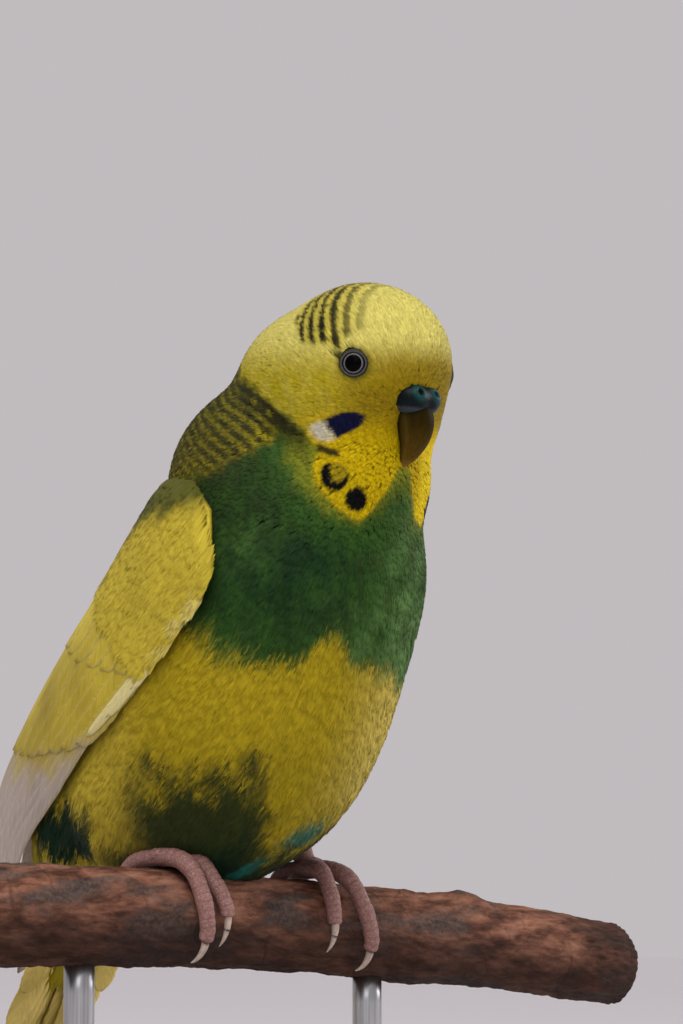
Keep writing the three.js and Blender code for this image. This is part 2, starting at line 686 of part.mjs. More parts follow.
// Toes lie on the perch, the claws go on along the same arcs
function toePath(side, index, t) {
  const { ball, ends } = FEET[side.name];
  const toe = TOES[index];
  const along = lerp(ball + side.sign * toe.start, ends[index], Math.min(1, t * 1.1));
  const round = toe.sweep * t;
  const thick = lerp(toe.thick, toe.thin, t);
  const lift = KNUCKLE_LIFT * Math.sin(Math.PI * Math.min(1, t * 1.6)) ** 2;
  return perchPoint(along, round, perchRadius(along, round) + GAP + thick + lift);
}

function toeSolid(side, index, grow = 0) {
  const toe = TOES[index];
  const steps = indices(TOE_STEPS + 1).map((i) => i / TOE_STEPS);
  const centres = steps.map((t) => toePath(side, index, t));
  centres[0] = add(centres[0], scale(unit(sub(centres[0], centres[1])), grow));
  const radii = steps.map((t, i) => {
    const swell = i % 3 === 1 ? 1.08 : 0.97;
    return lerp(toe.thick, toe.thin, t) * swell + grow;
  });
  return tube(centres, radii, TOE_SIDES);
}

const FOOT_AXES = [PERCH_FRONT, PERCH_ALONG, PERCH_UP];

function footSeat(side) {
  const along = FEET[side.name].ball;
  return perchPoint(along, 0, perchRadius(along, 0) + GAP);
}

function footSolid(side, grow = 0) {
  const seat = footSeat(side);
  const ball = placed(
    new THREE.SphereGeometry(1, 10, 7),
    add(seat, scale(PERCH_UP, BALL.high)),
    FOOT_AXES,
    BALL.radii.map((r) => r + grow),
  );
  const top = add(seat, SHANK_TOP);
  const middle = mix(seat, top, 0.5);
  const radii = [1.9, 1.75, SHANK_RADIUS].map((r) => r + grow);
  const shank = tube([add(seat, [0, 0.4, 1.6]), middle, top], radii, 8);
  const toes = TOES.map((_, index) => solid(toeSolid(side, index, grow)));
  return toes.reduce((sum, toe) => sum.add(toe), solid(ball).add(solid(shank)));
}

function leg(side, grow = 0) {
  const ankle = add(footSeat(side), SHANK_TOP);
  const [inward, back, high] = LEG_TOP;
  const knee = add(footSeat(side), [inward * side.sign, back, high]);
  const up = unit(SHANK_TOP);
  const start = add(ankle, scale(up, GAP - grow));
  const end = add(knee, scale(unit(sub(knee, ankle)), grow));
  const centres = [start, add(start, up), mix(ankle, knee, 0.4), mix(ankle, knee, 0.7), end];
  return tube(centres, [1.9, 2.4, 3.0, 3.4, 2.8].map((r) => r + grow), 12);
}

function claw(side, index) {
  const toe = TOES[index];
  const end = toePath(side, index, 1);
  const before = toePath(side, index, 0.94);
  const heading = unit(sub(end, before));
  const along = FEET[side.name].ends[index];
  const sign = Math.sign(toe.sweep);
  const centres = indices(CLAW_STEPS + 1).map((i) => {
    const t = i / CLAW_STEPS;
    if (i === 0) return add(end, scale(heading, GAP));
    const round = toe.sweep + sign * (CLAW_LENGTH * t + GAP) * 180 / Math.PI / (PERCH_RADIUS + 1.5);
    const thick = lerp(toe.thin, 0.5, t);
    const rise = Math.sin(Math.PI * (0.25 + 0.75 * t)) - Math.sin(Math.PI / 4) * (1 - t);
    const arch = CLAW_ARCH * rise;
    return perchPoint(along, round, perchRadius(along, round) + GAP + thick + Math.max(0, arch));
  });
  const radii = indices(CLAW_STEPS + 1).map((i) => lerp(0.85, 0.12, (i / CLAW_STEPS) ** 1.3));
  return tube(centres, radii, CLAW_SIDES);
}

// Stand
function standBase() {
  const profile = [
    [0, 0], [BASE_RADIUS - BASE_EDGE, 0], [BASE_RADIUS, BASE_EDGE],
    [BASE_RADIUS, BASE_HEIGHT - BASE_EDGE], [BASE_RADIUS - BASE_EDGE, BASE_HEIGHT], [0, BASE_HEIGHT],
  ].map(([r, z]) => new THREE.Vector2(r, z));
  return new THREE.LatheGeometry(profile, 40).rotateX(Math.PI / 2);
}

function standRod(side) {
  const top = perchMiddle(side * ROD_AT);
  const foot = BASE_HEIGHT + GAP - BIRD_ORIGIN[2];
  const length = top[2] - foot;
  const rod = new THREE.CylinderGeometry(ROD_RADIUS, ROD_RADIUS, length, 20).rotateX(Math.PI / 2);
  rod.translate(top[0], top[1], foot + length / 2);
  return geometryFrom(solid(rod).subtract(solid(perchSolid(GAP))));
}

const group = new THREE.Group();
group.name = 'budgerigar';

// Adds one node, its geometry in the bird's frame unless it already stands on z = 0
function node(name, geometry, look, origin = BIRD_ORIGIN) {
  const clean = cleaned(geometry).translate(...origin);
  clean.computeVertexNormals();
  const mesh = new THREE.Mesh(clean, new THREE.MeshStandardMaterial(LOOKS[look]));
  mesh.material.name = look;
  mesh.name = name;
  group.add(mesh);
}

function mirrored(geometry) {
  const copy = geometry.clone().scale(-1, 1, 1);
  const index = copy.index.array;
  for (let i = 0; i < index.length; i += 3) [index[i], index[i + 1]] = [index[i + 1], index[i]];
  return copy;
}

let torso = solid(trunkPiece(TAIL_ROOT_AT, NECK_ROOT_AT, TORSO_RINGS, 0)).subtract(solid(perchSolid(GAP)));
for (const side of SIDES) {
  torso = torso.subtract(solid(leg(side, GAP))).subtract(footSolid(side, FOOT_ROOM));
}

node('torso', geometryFrom(torso), 'plumage_green');
node('neck', trunkPiece(NECK_ROOT_AT, HEAD_ROOT_AT, NECK_RINGS, GAP), 'plumage_green');

let head = solid(headShell());
for (const { sign } of SIDES) head = head.add(solid(lid(sign))).subtract(solid(eyeBall(sign, GAP)));
const upperBill = solid(bill(UPPER_BILL, 11));
const upperRoom = solid(bill(UPPER_BILL, 11, GAP));
const lowerBill = solid(bill(LOWER_BILL, 6));
const lowerRoom = solid(bill(LOWER_BILL, 6, GAP));
head = head.subtract(cereSolid(GAP)).subtract(upperRoom).subtract(lowerRoom);
node('head', geometryFrom(head), 'plumage_yellow');
for (const { name, sign } of SIDES) node(`eye_${name}`, eyeBall(sign), 'eye');
const cere = cereSolid().subtract(upperRoom).subtract(nostril(1)).subtract(nostril(-1));
node('cere', geometryFrom(cere), 'cere');
node('bill_upper', geometryFrom(upperBill), 'bill');
node('bill_lower', geometryFrom(lowerBill.subtract(upperRoom)), 'bill');

const wing = geometryFrom(wingSolid());
node('wing_right', wing, 'wing_feathers');
node('wing_left', mirrored(wing), 'wing_feathers');
node('tail', geometryFrom(tailSolid()), 'tail_feathers');

for (const side of SIDES) {
  node(`leg_${side.name}`, leg(side), 'plumage_yellow');
  node(`foot_${side.name}`, geometryFrom(footSolid(side)), 'foot_skin');
  TOES.forEach((_, index) => node(`claw_${side.name}_${index + 1}`, claw(side, index), 'claw'));
}

node('perch', perchSolid(), 'bark');
node('stand_base', standBase(), 'stand', [0, 0, 0]);
for (const { name, sign } of SIDES) node(`stand_rod_${name}`, standRod(sign), 'stand');

export default group;
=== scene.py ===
"""A budgerigar at life size on a cut length of branch: skin, plumage, wings, tail, head parts, feet and stand.

All sizes are millimetres in the bird's own frame: the perch's top between the feet is the origin,
the bird faces -Y and its left is +X.
"""
import math

import bpy
import numpy as np
from mathutils import Matrix, Vector
from mathutils.kdtree import KDTree


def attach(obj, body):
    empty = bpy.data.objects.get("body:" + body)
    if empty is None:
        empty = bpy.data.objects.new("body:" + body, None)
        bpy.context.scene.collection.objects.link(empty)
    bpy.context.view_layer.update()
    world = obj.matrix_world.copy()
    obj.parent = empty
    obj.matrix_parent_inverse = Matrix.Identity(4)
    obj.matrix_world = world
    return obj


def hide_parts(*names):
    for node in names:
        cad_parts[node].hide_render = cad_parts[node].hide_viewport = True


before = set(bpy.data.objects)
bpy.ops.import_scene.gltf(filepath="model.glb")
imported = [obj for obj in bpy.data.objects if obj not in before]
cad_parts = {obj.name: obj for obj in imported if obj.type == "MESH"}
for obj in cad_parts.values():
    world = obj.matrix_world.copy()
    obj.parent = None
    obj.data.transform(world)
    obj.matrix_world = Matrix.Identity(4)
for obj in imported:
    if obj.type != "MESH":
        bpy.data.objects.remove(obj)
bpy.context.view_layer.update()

MM = 0.001
BIRD_ORIGIN = np.array([0.0, -12.0, 84.0])

# Form of the plumage: centre, radii across, along and deep, tilt of the long axis in degrees
TRUNK = [
    ((0, -5.8, 31.3), (22.2, 33, 26), 60),
    ((0, -15, 46.7), (20.8, 22, 22.2), 62),
    ((0, -5.4, 18.6), (17.4, 20, 18.4), 60),
    ((0, 1, 8.5), (12, 15, 12), 58),
    ((12.5, 1.5, 11.5), (8, 14, 10), 62),
    ((-9.5, 2, 12), (8, 14, 10), 62),
    ((8.5, 12, 13), (9, 17, 11), 57),
    ((-8.5, 12, 13), (9, 17, 11), 57),
    ((0, 24, 16), (14.5, 28, 13.5), 57),
    ((0, -9.8, 61.5), (16.8, 17, 17.2), 50),
]
# Form of the head: centre and radii forward, left and up from the middle of the skull
SKULL = [
    ((-2, 0, 0.4), (13.6, 12.4, 12.8)),
    ((3.9, 0, 0.5), (9, 9.1, 9.4)),
    ((-1, 6, -8), (8.5, 6.5, 7.5)),
    ((-1, -6, -8), (8.5, 6.5, 7.5)),
    ((0.2, 0, -19), (10, 12, 10.5)),
    ((-12.6, 0, -4.3), (13.2, 12.9, 12.8)),
]
SKULL_MIDDLE = np.array([0.0, -32.0, 79.5])
HEAD_YAW = 5
HEAD_PITCH = 8
BLEND = 2.2

SPINE = np.array([[34, -8], [25, 8], [1, 33], [-13, 50], [-23, 65], [-32, 79.5]], float)
TAIL_ROOT_AT = 0.8
HEAD_ROOT_AT = 3.85

# Right wing: lower front edge and back edge at matching stations from shoulder to tip
WING_LOW_LINE = np.array([
    [-23, -22, 51.5], [-24.2, -14.5, 41], [-23.4, -2, 29], [-21, 10.5, 19],
    [-17.5, 23.5, 10], [-13, 36.5, 1.5], [-8.5, 47.5, -9.5], [-5, 55, -21.5],
])
WING_BACK_LINE = np.array([
    [-0.9, 70.6], [8.2, 60.9], [18.6, 49.1], [29.6, 38.2],
    [39.9, 27.4], [49.5, 15.5], [55.5, 1.5], [58.2, -15.5],
])
WING_BACK_X = -0.6
WING_FULLNESS = 2.35
WING_TOP = [[0, 62], [0.3, 48], [0.6, 36], [1, 26], [1.5, 14], [2, 4], [2.4, 1], [4.4, 1], [5.2, 8], [6.2, 26], [7, 58]]
WING_LOW = [[0, 70], [0.2, 80], [0.4, 87], [0.85, 93], [1.3, 94], [2, 92.5], [3, 88.5], [4, 86.5], [6, 85], [7, 76]]
WING_END = 6.3

TAIL_START = np.array([0, 21.7, 12])
TAIL_SLOPE = 58.5

EYE_RADIUS = 3.2
EYE_OUT = 10.5
EYE_TURN = 55.5
EYE_RISE = -0.55

PERCH_TURN = 9
PERCH_DROP = 0.05
PERCH_TOP = -2.8
PERCH_RADIUS = 8
PERCH_TAPER = 0.008
PERCH_SAG = 0.0005
PERCH_ENDS = (-75, 88)
END_INSET = 0.2
PERCH_KNOTS = [(50, 20, 1.5, 4.5, 32), (-46, 70, 1.3, 5, 36), (70, -60, 0.9, 7, 70), (-64, -30, 0.8, 6, 60), (38, 150, 0.8, 8, 80)]

GAP = 0.3


# Small mathematics
def unit(v):
    v = np.asarray(v, float)
    return v / np.maximum(np.linalg.norm(v, axis=-1, keepdims=True), 1e-9)


def smooth(low, high, x):
    t = np.clip((np.asarray(x, float) - low) / (high - low), 0, 1)
    return t * t * (3 - 2 * t)


def curve(points, t):
    """Smooth curve through points, t counting the points."""
    p = np.asarray(points, float)
    t = np.asarray(t, float)
    i = np.clip(np.floor(t).astype(int), 0, len(p) - 2)
    f = (t - i)[..., None]
    ext = np.vstack([2 * p[0] - p[1], p, 2 * p[-1] - p[-2]])
    a, b, c, d = ext[i], ext[i + 1], ext[i + 2], ext[i + 3]
    return 0.5 * (2 * b + (c - a) * f + (2 * a - 5 * b + 4 * c - d) * f**2 + (3 * b - a - 3 * c + d) * f**3)


def table(rows, at):
    return np.interp(at, [r[0] for r in rows], [r[1] for r in rows])


def ripple(p, size, seed, count=7):
    """Soft noise, about -1 to 1."""
    draw = np.random.default_rng(seed)
    ways = unit(draw.normal(size=(count, 3))) / (size * draw.uniform(0.7, 1.4, (count, 1)))
    turns = draw.uniform(0, 2 * math.pi, count)
    return np.sin(p @ ways.T * 2 * math.pi + turns).sum(-1) / math.sqrt(count)


# The head's own directions: forward, left and up
_yaw, _pitch = math.radians(HEAD_YAW), math.radians(HEAD_PITCH)
FORWARD = np.array([-math.sin(_yaw) * math.cos(_pitch), -math.cos(_yaw) * math.cos(_pitch), -math.sin(_pitch)])
LEFT = np.array([math.cos(_yaw), -math.sin(_yaw), 0])
HEAD_UP = np.cross(FORWARD, LEFT)
HEAD_AXES = np.array([FORWARD, LEFT, HEAD_UP])


def head_point(place):
    return SKULL_MIDDLE + np.asarray(place, float) @ HEAD_AXES


def head_place(point):
    return (point - SKULL_MIDDLE) @ HEAD_AXES.T


def trunk_axes(tilt):
    c, s = math.cos(math.radians(tilt)), math.sin(math.radians(tilt))
    return np.array([[1, 0, 0], [0, -c, s], [0, s, c]])


FORMS = [(np.array(c, float), np.array(r, float), trunk_axes(t)) for c, r, t in TRUNK]
FORMS += [(head_point(c), np.array(r, float), HEAD_AXES) for c, r in SKULL]


def plumage(points):
    """Distance to the plumage's surface, negative inside."""
    d = np.empty((len(FORMS),) + points.shape[:-1])
    for i, (centre, radii, axes) in enumerate(FORMS):
        q = (points - centre) @ axes.T
        near = np.linalg.norm(q / radii, axis=-1)
        steep = np.linalg.norm(q / radii**2, axis=-1)
        d[i] = near * (near - 1) / np.maximum(steep, 1e-9)
    low = d.min(0)
    return low - BLEND * np.log(np.exp((low - d) / BLEND).sum(0))


def outward(points):
    step = 0.2
    g = np.stack([plumage(points + step * e) - plumage(points - step * e) for e in np.eye(3)], -1)
    return unit(g)


def crossing(origins, ways, level):
    """Where rays from inside first cross a level of the plumage."""
    near = np.zeros(ways.shape[:-1])
    open_ = np.ones(ways.shape[:-1], bool)
    for _ in range(75):
        open_ = open_ & (plumage(origins + ways * (near + 1)[..., None]) < level)
        near = near + open_
        if not open_.any():
            break
    far = near + 1
    for _ in range(20):
        middle = (near + far) / 2
        inside = plumage(origins + ways * middle[..., None]) < level
        near, far = np.where(inside, middle, near), np.where(inside, far, middle)
    return origins + ways * ((near + far) / 2)[..., None]


def spine_frame(at):
    def place(t):
        q = curve(SPINE, t)
        return np.stack([np.zeros(np.shape(t)), q[..., 0], q[..., 1]], -1)
    along = unit(place(at + 0.01) - place(at - 0.01))
    side = np.broadcast_to([1.0, 0, 0], along.shape)
    return place(at), along, side, np.cross(side, along)


SPINE_AT = np.linspace(0.2, 4.9, 190)
SPINE_POINTS, SPINE_ALONG = spine_frame(SPINE_AT)[:2]


def spine_place(points):
    """Nearest place on the spine: its number, its direction and the turn round it, 0 at the back."""
    flat = points.reshape(-1, 3)
    far = ((flat[:, None, 1:] - SPINE_POINTS[None, :, 1:]) ** 2).sum(-1)
    i = far.argmin(1)
    centre, along, side, up = spine_frame(SPINE_AT[i])
    off = flat - centre
    turn = np.arctan2((off * side).sum(-1), (off * up).sum(-1))
    shape = points.shape[:-1]
    return SPINE_AT[i].reshape(shape), along.reshape(points.shape), turn.reshape(shape)


BILL_ROOT = head_point([9.5, 0, -7.5])
EYES = {side: head_point([math.cos(math.radians(EYE_TURN)) * EYE_OUT,
                          sign * math.sin(math.radians(EYE_TURN)) * EYE_OUT, EYE_RISE])
        for side, sign in (("left", 1), ("right", -1))}
EYE_WAYS = {side: math.cos(math.radians(EYE_TURN)) * FORWARD + sign * math.sin(math.radians(EYE_TURN)) * LEFT
            for side, sign in (("left", 1), ("right", -1))}


def from_bill(points):
    return np.linalg.norm(points - BILL_ROOT, axis=-1)


def coat_depth(points):
    return np.interp(from_bill(points), [0, 10, 25, 50, 110], [0.4, 0.55, 0.9, 1.3, 1.5])


def lie(points, normals):
    """The way that feathers lie: away from the bill on the head, toward the tail on the body."""
    share = 1 - smooth(20, 46, from_bill(points))[..., None]
    _, along, _ = spine_place(points)
    way = unit(share * unit(points - BILL_ROOT) - (1 - share) * along)
    return unit(way - normals * (way * normals).sum(-1, keepdims=True))


# Markings, as functions of a place on the plumage
HEAD_YELLOW = (0.49, 0.425, 0.10)
# Rich yellow of the face, darkened in part as painted shade about the bill
FACE_YELLOW_SHADED = (0.215, 0.143, 0.001)
EAR_YELLOW = (0.30, 0.237, 0.005)
BIB_YELLOW = (0.42, 0.292, 0.0004)
# Bib yellow made brighter as painted light, for the far lobe where the side light falls
FAR_BIB_PAINTED_LIGHT = (0.64, 0.47, 0.003)
BODY_YELLOW = (0.31, 0.229, 0.007)
# Pale yellow as painted light on the bird's left side, where the side light falls
FAR_BELLY_PAINTED_LIGHT = (0.58, 0.45, 0.10)
# Brighter yellow as painted light, lifting the shade under the wing
REAR_BODY_PAINTED_LIGHT = (0.46, 0.345, 0.03)
BREAST_GREEN = (0.022, 0.060, 0.008)
PALE_GREEN = (0.085, 0.17, 0.045)
DEEP_GREEN = (0.003, 0.016, 0.006)
LIME = (0.17, 0.18, 0.010)
OLIVE = (0.10, 0.085, 0.006)
BAR_BLACK = (0.010, 0.009, 0.003)
SPOT_BLACK = (0.0015, 0.0015, 0.002)
CHEEK_VIOLET = (0.002, 0.003, 0.020)
CHEEK_WHITE = (0.46, 0.43, 0.33)
TEAL = (0.008, 0.10, 0.075)

# Marks on the head are outlines laid on it from the front and side, as millimetres across and up from its middle
MARK_WAY = unit([0.734, -0.678, 0])
MARK_ACROSS = unit([0.675, 0.731, 0.095])
MARK_UP = unit([-0.064, -0.070, 0.995])
OLIVE_ZONE = [(-10.0, -10.1), (-12.5, -12.0), (-13.4, -15.7), (-11.8, -18.9), (-8.9, -22.1), (-5.5, -25.0), (-5, -18), (-8, -12)]
CHEEK_PATCH = [(-7.7, -9.3), (-6.2, -8.5), (-4.5, -8.0), (-2.5, -8.0), (-1.0, -8.6), (-1.5, -9.9), (-2.9, -10.9),
               (-4.5, -11.6), (-5.6, -12.2), (-6.4, -11.3), (-7.2, -10.3)]
WHITE_MARK = [(-10.0, -10.2), (-8.6, -9.5), (-7.4, -9.6), (-6.6, -10.8), (-5.8, -12.2), (-7.0, -12.7), (-8.6, -12.3), (-9.8, -11.2)]
THROAT_STREAK = [(-8.8, -12.9), (-7.0, -13.6), (-5.2, -14.2), (-5.4, -15.1), (-7.0, -15.0), (-8.8, -14.1)]
SPOT_REAR = [(-6.6, -16.0), (-7.4, -16.2), (-8.1, -17.0), (-8.4, -18.2), (-8.1, -19.4), (-7.3, -20.3), (-6.2, -20.7),
             (-5.1, -20.5), (-4.2, -19.8), (-3.7, -18.7), (-3.6, -17.8), (-4.1, -18.0), (-4.6, -18.9), (-5.4, -19.3),
             (-6.3, -19.0), (-6.6, -18.0), (-6.5, -16.9)]
SPOT_HEART = [(-6.6, -16.2), (-5.2, -16.0), (-4.0, -16.8), (-3.9, -18.2), (-4.8, -19.3), (-6.2, -19.2)]
SPOT_FRONT = [(-2.5, -20.0), (-3.7, -20.4), (-4.3, -21.5), (-4.1, -23.0), (-3.3, -23.9), (-2.3, -24.0), (-1.3, -23.4),
              (-0.8, -22.2), (-0.9, -20.9), (-1.6, -20.1)]
NEAR_BIB = [(-3, -9), (-7.0, -12.8), (-9.1, -14.7), (-9.6, -17), (-9.3, -18.8), (-8.3, -20.8), (-6.5, -22.6), (-4.8, -24.0),
            (-2.9, -25.4), (-1.4, -25.2), (-0.1, -24.0), (1.5, -22.0), (2.9, -20.1), (4.3, -17.2), (5.2, -14), (6, -8)]
FAR_BIB = [(5.5, -8), (6.0, -14), (6.3, -20), (6.9, -25.4), (8.5, -26.2), (12, -24), (13, -8)]
PLAIN_EDGE = [(-26, 1), (-18, -3), (-14.3, -5.0), (-11.1, -6.4), (-4.9, -9.6), (-0.3, -12.0), (2, -14.6), (8, -16.6), (14, -17)]
FAR_MARKS_BACK = 2.6
GREEN_EDGE = [(-22, 35.2), (-20.9, 33.4), (-19.1, 31.0), (-16.3, 29.8), (-14.4, 30.1), (-12.5, 30.7), (-11.7, 33.0),
              (-10.6, 34.6), (-7.5, 32.7), (-3.3, 30.5), (1.9, 28.8), (7, 26.9), (10, 26.5), (16, 30), (22, 34)]
MANTLE_BARS = 1.65
MANTLE_END = [(-30, -22.5), (-25, -21.2), (-14, -18.8), (-8, -14.0), (-4, -12.5)]


def paint(base, colour, amount):
    amount = np.clip(amount, 0, 1)[..., None]
    return base * (1 - amount) + np.array(colour) * amount


def outline_share(place, corners, soft=0.16):
    """Share of a drawn outline at places on the head, 1 inside, fading over its edge."""
    a, b = place @ MARK_ACROSS, place @ MARK_UP
    share = np.zeros(a.shape)
    low, high = np.min(corners, 0) - 1 - soft, np.max(corners, 0) + 1 + soft
    near = (a > low[0]) & (a < high[0]) & (b > low[1]) & (b < high[1]) & (place @ MARK_WAY > 2)
    a, b = a[near], b[near]
    far = np.full(a.shape, 9.0)
    inside = np.zeros(a.shape, bool)
    for (x0, y0), (x1, y1) in zip(corners, corners[1:] + corners[:1]):
        t = np.clip(((a - x0) * (x1 - x0) + (b - y0) * (y1 - y0)) / ((x1 - x0) ** 2 + (y1 - y0) ** 2), 0, 1)
        far = np.minimum(far, np.hypot(a - x0 - t * (x1 - x0), b - y0 - t * (y1 - y0)))
        if y0 != y1:
            inside ^= ((b < y0) != (b < y1)) & (a < x0 + (b - y0) * (x1 - x0) / (y1 - y0))
    share[near] = smooth(-soft, soft, np.where(inside, far, -far))
    return share


def plumage_colour(p):
    h = head_place(p)
    f, side, up = h[..., 0], np.abs(h[..., 1]), h[..., 2]
    mirrored = np.stack([f, -side, up], -1)
    marked = np.stack([f, np.where(h[..., 1] > 0, FAR_MARKS_BACK - side, -side), up], -1)
    at, _, turn = spine_place(p)
    back = -np.cos(turn)
    x, z = p[..., 0], p[..., 2]
    y = p[..., 1]
    wave = ripple(p, 11, 1)
    fine = ripple(p, 3.4, 2)
    speck = ripple(p, 1.5, 3)
    streaks = ripple(p * [1, 1, 0.22], 2.2, 4)
    near = from_bill(p)

    # Yellow of the head: pale over forehead and crown, partly painted light on the top of the head; rich and darker
    # about the bill, partly painted shade on the lower face; and on the bib
    colour = np.broadcast_to(np.array(HEAD_YELLOW), p.shape).copy()
    colour = paint(colour, EAR_YELLOW, smooth(4, -4, up + 0.3 * wave) * (0.90 + 0.08 * fine))
    colour = paint(colour, FACE_YELLOW_SHADED, (1 - smooth(8, 17, near + 0.8 * fine)) * smooth(5.5, 0, up) * smooth(-2, 3, f) * 0.9)
    bib = np.maximum(outline_share(mirrored, NEAR_BIB, 0.35), outline_share(h, FAR_BIB, 0.4) * (h[..., 1] > 0.5))
    colour = paint(colour, BIB_YELLOW, smooth(-7, -12, up + 0.4 * fine) * smooth(-5, 3, f))
    # Painted light: the bib's far lobe brighter where the side light falls on it
    colour = paint(colour, FAR_BIB_PAINTED_LIGHT, smooth(-9, -14, up) * smooth(2.5, 5.5, h[..., 1]) * smooth(-5, 3, f))

    # Body: green breast and shoulders over a yellow belly
    edge_up = np.interp(f, [e[0] for e in PLAIN_EDGE], [e[1] for e in PLAIN_EDGE])
    body = smooth(0.5, -0.9, up - edge_up + 0.5 * streaks) * (1 - bib)
    body = np.maximum(body, (near > 40) * 1.0)
    colour = paint(colour, BODY_YELLOW, body)
    # Painted light: the front of the body paler on the bird's left, where the side light falls
    colour = paint(colour, FAR_BELLY_PAINTED_LIGHT, body * smooth(-8, 10, x) * smooth(4, -6, y) * smooth(2, 12, z) * 0.70)
    # Painted light: the rear of the body toward the tail brighter, lifting the shade under the wing
    colour = paint(colour, REAR_BODY_PAINTED_LIGHT, body * smooth(-4, 12, y) * 0.75)
    border = np.interp(x, [e[0] for e in GREEN_EDGE], [e[1] for e in GREEN_EDGE])
    green = body * smooth(-1.6, 1.6, z - border + 0.55 * streaks + 0.8 * wave)
    green = green * (1 - smooth(0.25, 0.75, back) * smooth(52, 44, z))
    fresh = smooth(5.5, 0.5, edge_up - up + 1.2 * streaks) * (near < 40)
    colour = paint(colour, BREAST_GREEN, green)
    colour = paint(colour, LIME, green * fresh * (0.75 + 0.25 * fine))
    # Paler green mostly on the bird's left side as painted light where the side light falls, and over the lower breast
    pale = smooth(-6, 6, x) * 0.75 + 0.18 * wave + 0.35 * smooth(44, 34, z) * smooth(-14, -8, x)
    colour = paint(colour, PALE_GREEN, green * (1 - fresh) * np.clip(pale, 0, 1) * (0.7 + 0.4 * fine))
    halo = np.maximum(outline_share(mirrored, NEAR_BIB, 4.0), outline_share(mirrored, OLIVE_ZONE, 3.2)) + 0.12 * streaks
    colour = paint(colour, LIME, green * smooth(0.02, 0.75, halo) * 0.85)
    # Painted shade: darker green on the shoulder beside the wing's front edge
    shoulder = smooth(-12, -17, x) * smooth(44, 52, z) * (1 - smooth(0.02, 0.5, halo))
    colour = paint(colour, (0.010, 0.016, 0.004), green * shoulder * (0.5 + 0.2 * streaks))
    deep = np.exp(-(((x + 15) / 8) ** 2 + ((z - 43) / 9) ** 2))
    colour = paint(colour, DEEP_GREEN, green * (1 - fresh) * np.clip(0.75 * deep + 0.25 * streaks, 0, 0.85))

    # Belly darker toward the bottom in painted shade, green streaks on the flanks, deep green along the lowest belly
    # and a few teal feathers
    # Painted shade: olive over the belly, stronger toward the bottom
    colour = paint(colour, OLIVE, (body - green) * smooth(22, 4, z) * (0.20 + 0.12 * streaks))
    flank = smooth(16.0, 8.5, z + 3.6 * streaks) * smooth(8.5, 12.5, np.abs(x) + 0.8 * streaks + 0.7 * np.maximum(9 - z, 0)) * smooth(11, 1, y)
    colour = paint(colour, DEEP_GREEN, flank * 0.93)
    vent = smooth(1.5, -1.5, z + 1.5 * streaks) * smooth(22, 12, y)
    colour = paint(colour, DEEP_GREEN, vent * 0.95)
    # Green of the rump under the wing's tips, painted deepest green as the shade under the wing
    patch = np.exp(-(((y - 26) / 9) ** 2 + ((z - 3) / 7) ** 2)) * smooth(6, 11, np.abs(x))
    colour = paint(colour, DEEP_GREEN, smooth(0.3, 0.6, patch + 0.15 * streaks))
    teal = np.exp(-(((x - 0.5) / 4.5) ** 2 + ((z - 2.5) / 2.6) ** 2)) * smooth(-12, -17, y)
    teal = np.maximum(teal, np.exp(-(((x + 3) / 1.8) ** 2 + ((z + 2.6) / 2.2) ** 2)) * smooth(2, -3, y))
    colour = paint(colour, TEAL, smooth(0.25, 0.6, teal + 0.1 * streaks) * 0.9)

    # Bars across the crown, and down the nape and mantle
    leaning = f + 0.6 * (up - 3)
    line = np.abs(((leaning + 0.14 * speck + 0.20 * wave) / 2.35 % 1) - 0.5) * 2
    foot_of_bars = np.interp(f, [-8, -5, -3.7, 0, 4.5, 7], [6.0, 3.9, 2.6, 1.8, 1.9, 5.0])
    crown = smooth(11.5, 7.5, leaning) * smooth(-8.6, -7.2, f) * smooth(-0.4, 0.8, up - foot_of_bars + 0.4 * fine)
    faded = smooth(11.0, 2.5, leaning)
    colour = paint(colour, EAR_YELLOW, crown * faded * 0.6)
    colour = paint(colour, BAR_BLACK, smooth(0.60, 0.38, line) * crown * (0.35 + 0.65 * faded))
    mantle = body * smooth(-1.5, 0.8, up - np.interp(f, [e[0] for e in MANTLE_END], [e[1] for e in MANTLE_END]) + 0.6 * streaks)
    mantle = mantle * smooth(-5, -9, f) * (near < 62)
    mantle = np.maximum(mantle, smooth(0.35, 0.7, back) * smooth(46, 50, z) * smooth(-12, -16, f) * (near < 75) * smooth(-3, -6, up))
    bar = np.abs(((at * 17.5 + 0.35 * wave + 0.10 * speck) / MANTLE_BARS % 1) - 0.5) * 2
    colour = paint(colour, EAR_YELLOW, mantle * 0.85)
    colour = paint(colour, BAR_BLACK, mantle * smooth(0.62, 0.38, bar) * 0.94)
    below = edge_up - up
    dark_edge = body * smooth(6.0, 1.5, below + 1.0 * streaks) * smooth(-0.3, 0.5, below) * smooth(2.0, -2.5, f)
    colour = paint(colour, BAR_BLACK, dark_edge * smooth(-20, -15, f) * smooth(-1.1, 0.1, streaks + 0.3) * 0.96)
    # Painted shade: darker olive over the green behind and below the back of the head
    shade = green * smooth(-7, -13, f) * smooth(-24, -17, up) * (near < 62)
    colour = paint(colour, (0.030, 0.032, 0.010), shade * 0.6)

    # Cheek patch, white mark and throat spots
    colour = paint(colour, CHEEK_WHITE, outline_share(marked, WHITE_MARK, 0.5) * (0.9 + 0.1 * speck))
    colour = paint(colour, CHEEK_VIOLET, outline_share(marked, CHEEK_PATCH, 0.25))
    colour = paint(colour, BAR_BLACK, outline_share(marked, THROAT_STREAK, 0.3) * 0.95)
    colour = paint(colour, OLIVE, outline_share(marked, SPOT_HEART) * 0.55)
    colour = paint(colour, SPOT_BLACK, outline_share(marked, SPOT_REAR))
    colour = paint(colour, SPOT_BLACK, outline_share(marked, SPOT_FRONT))
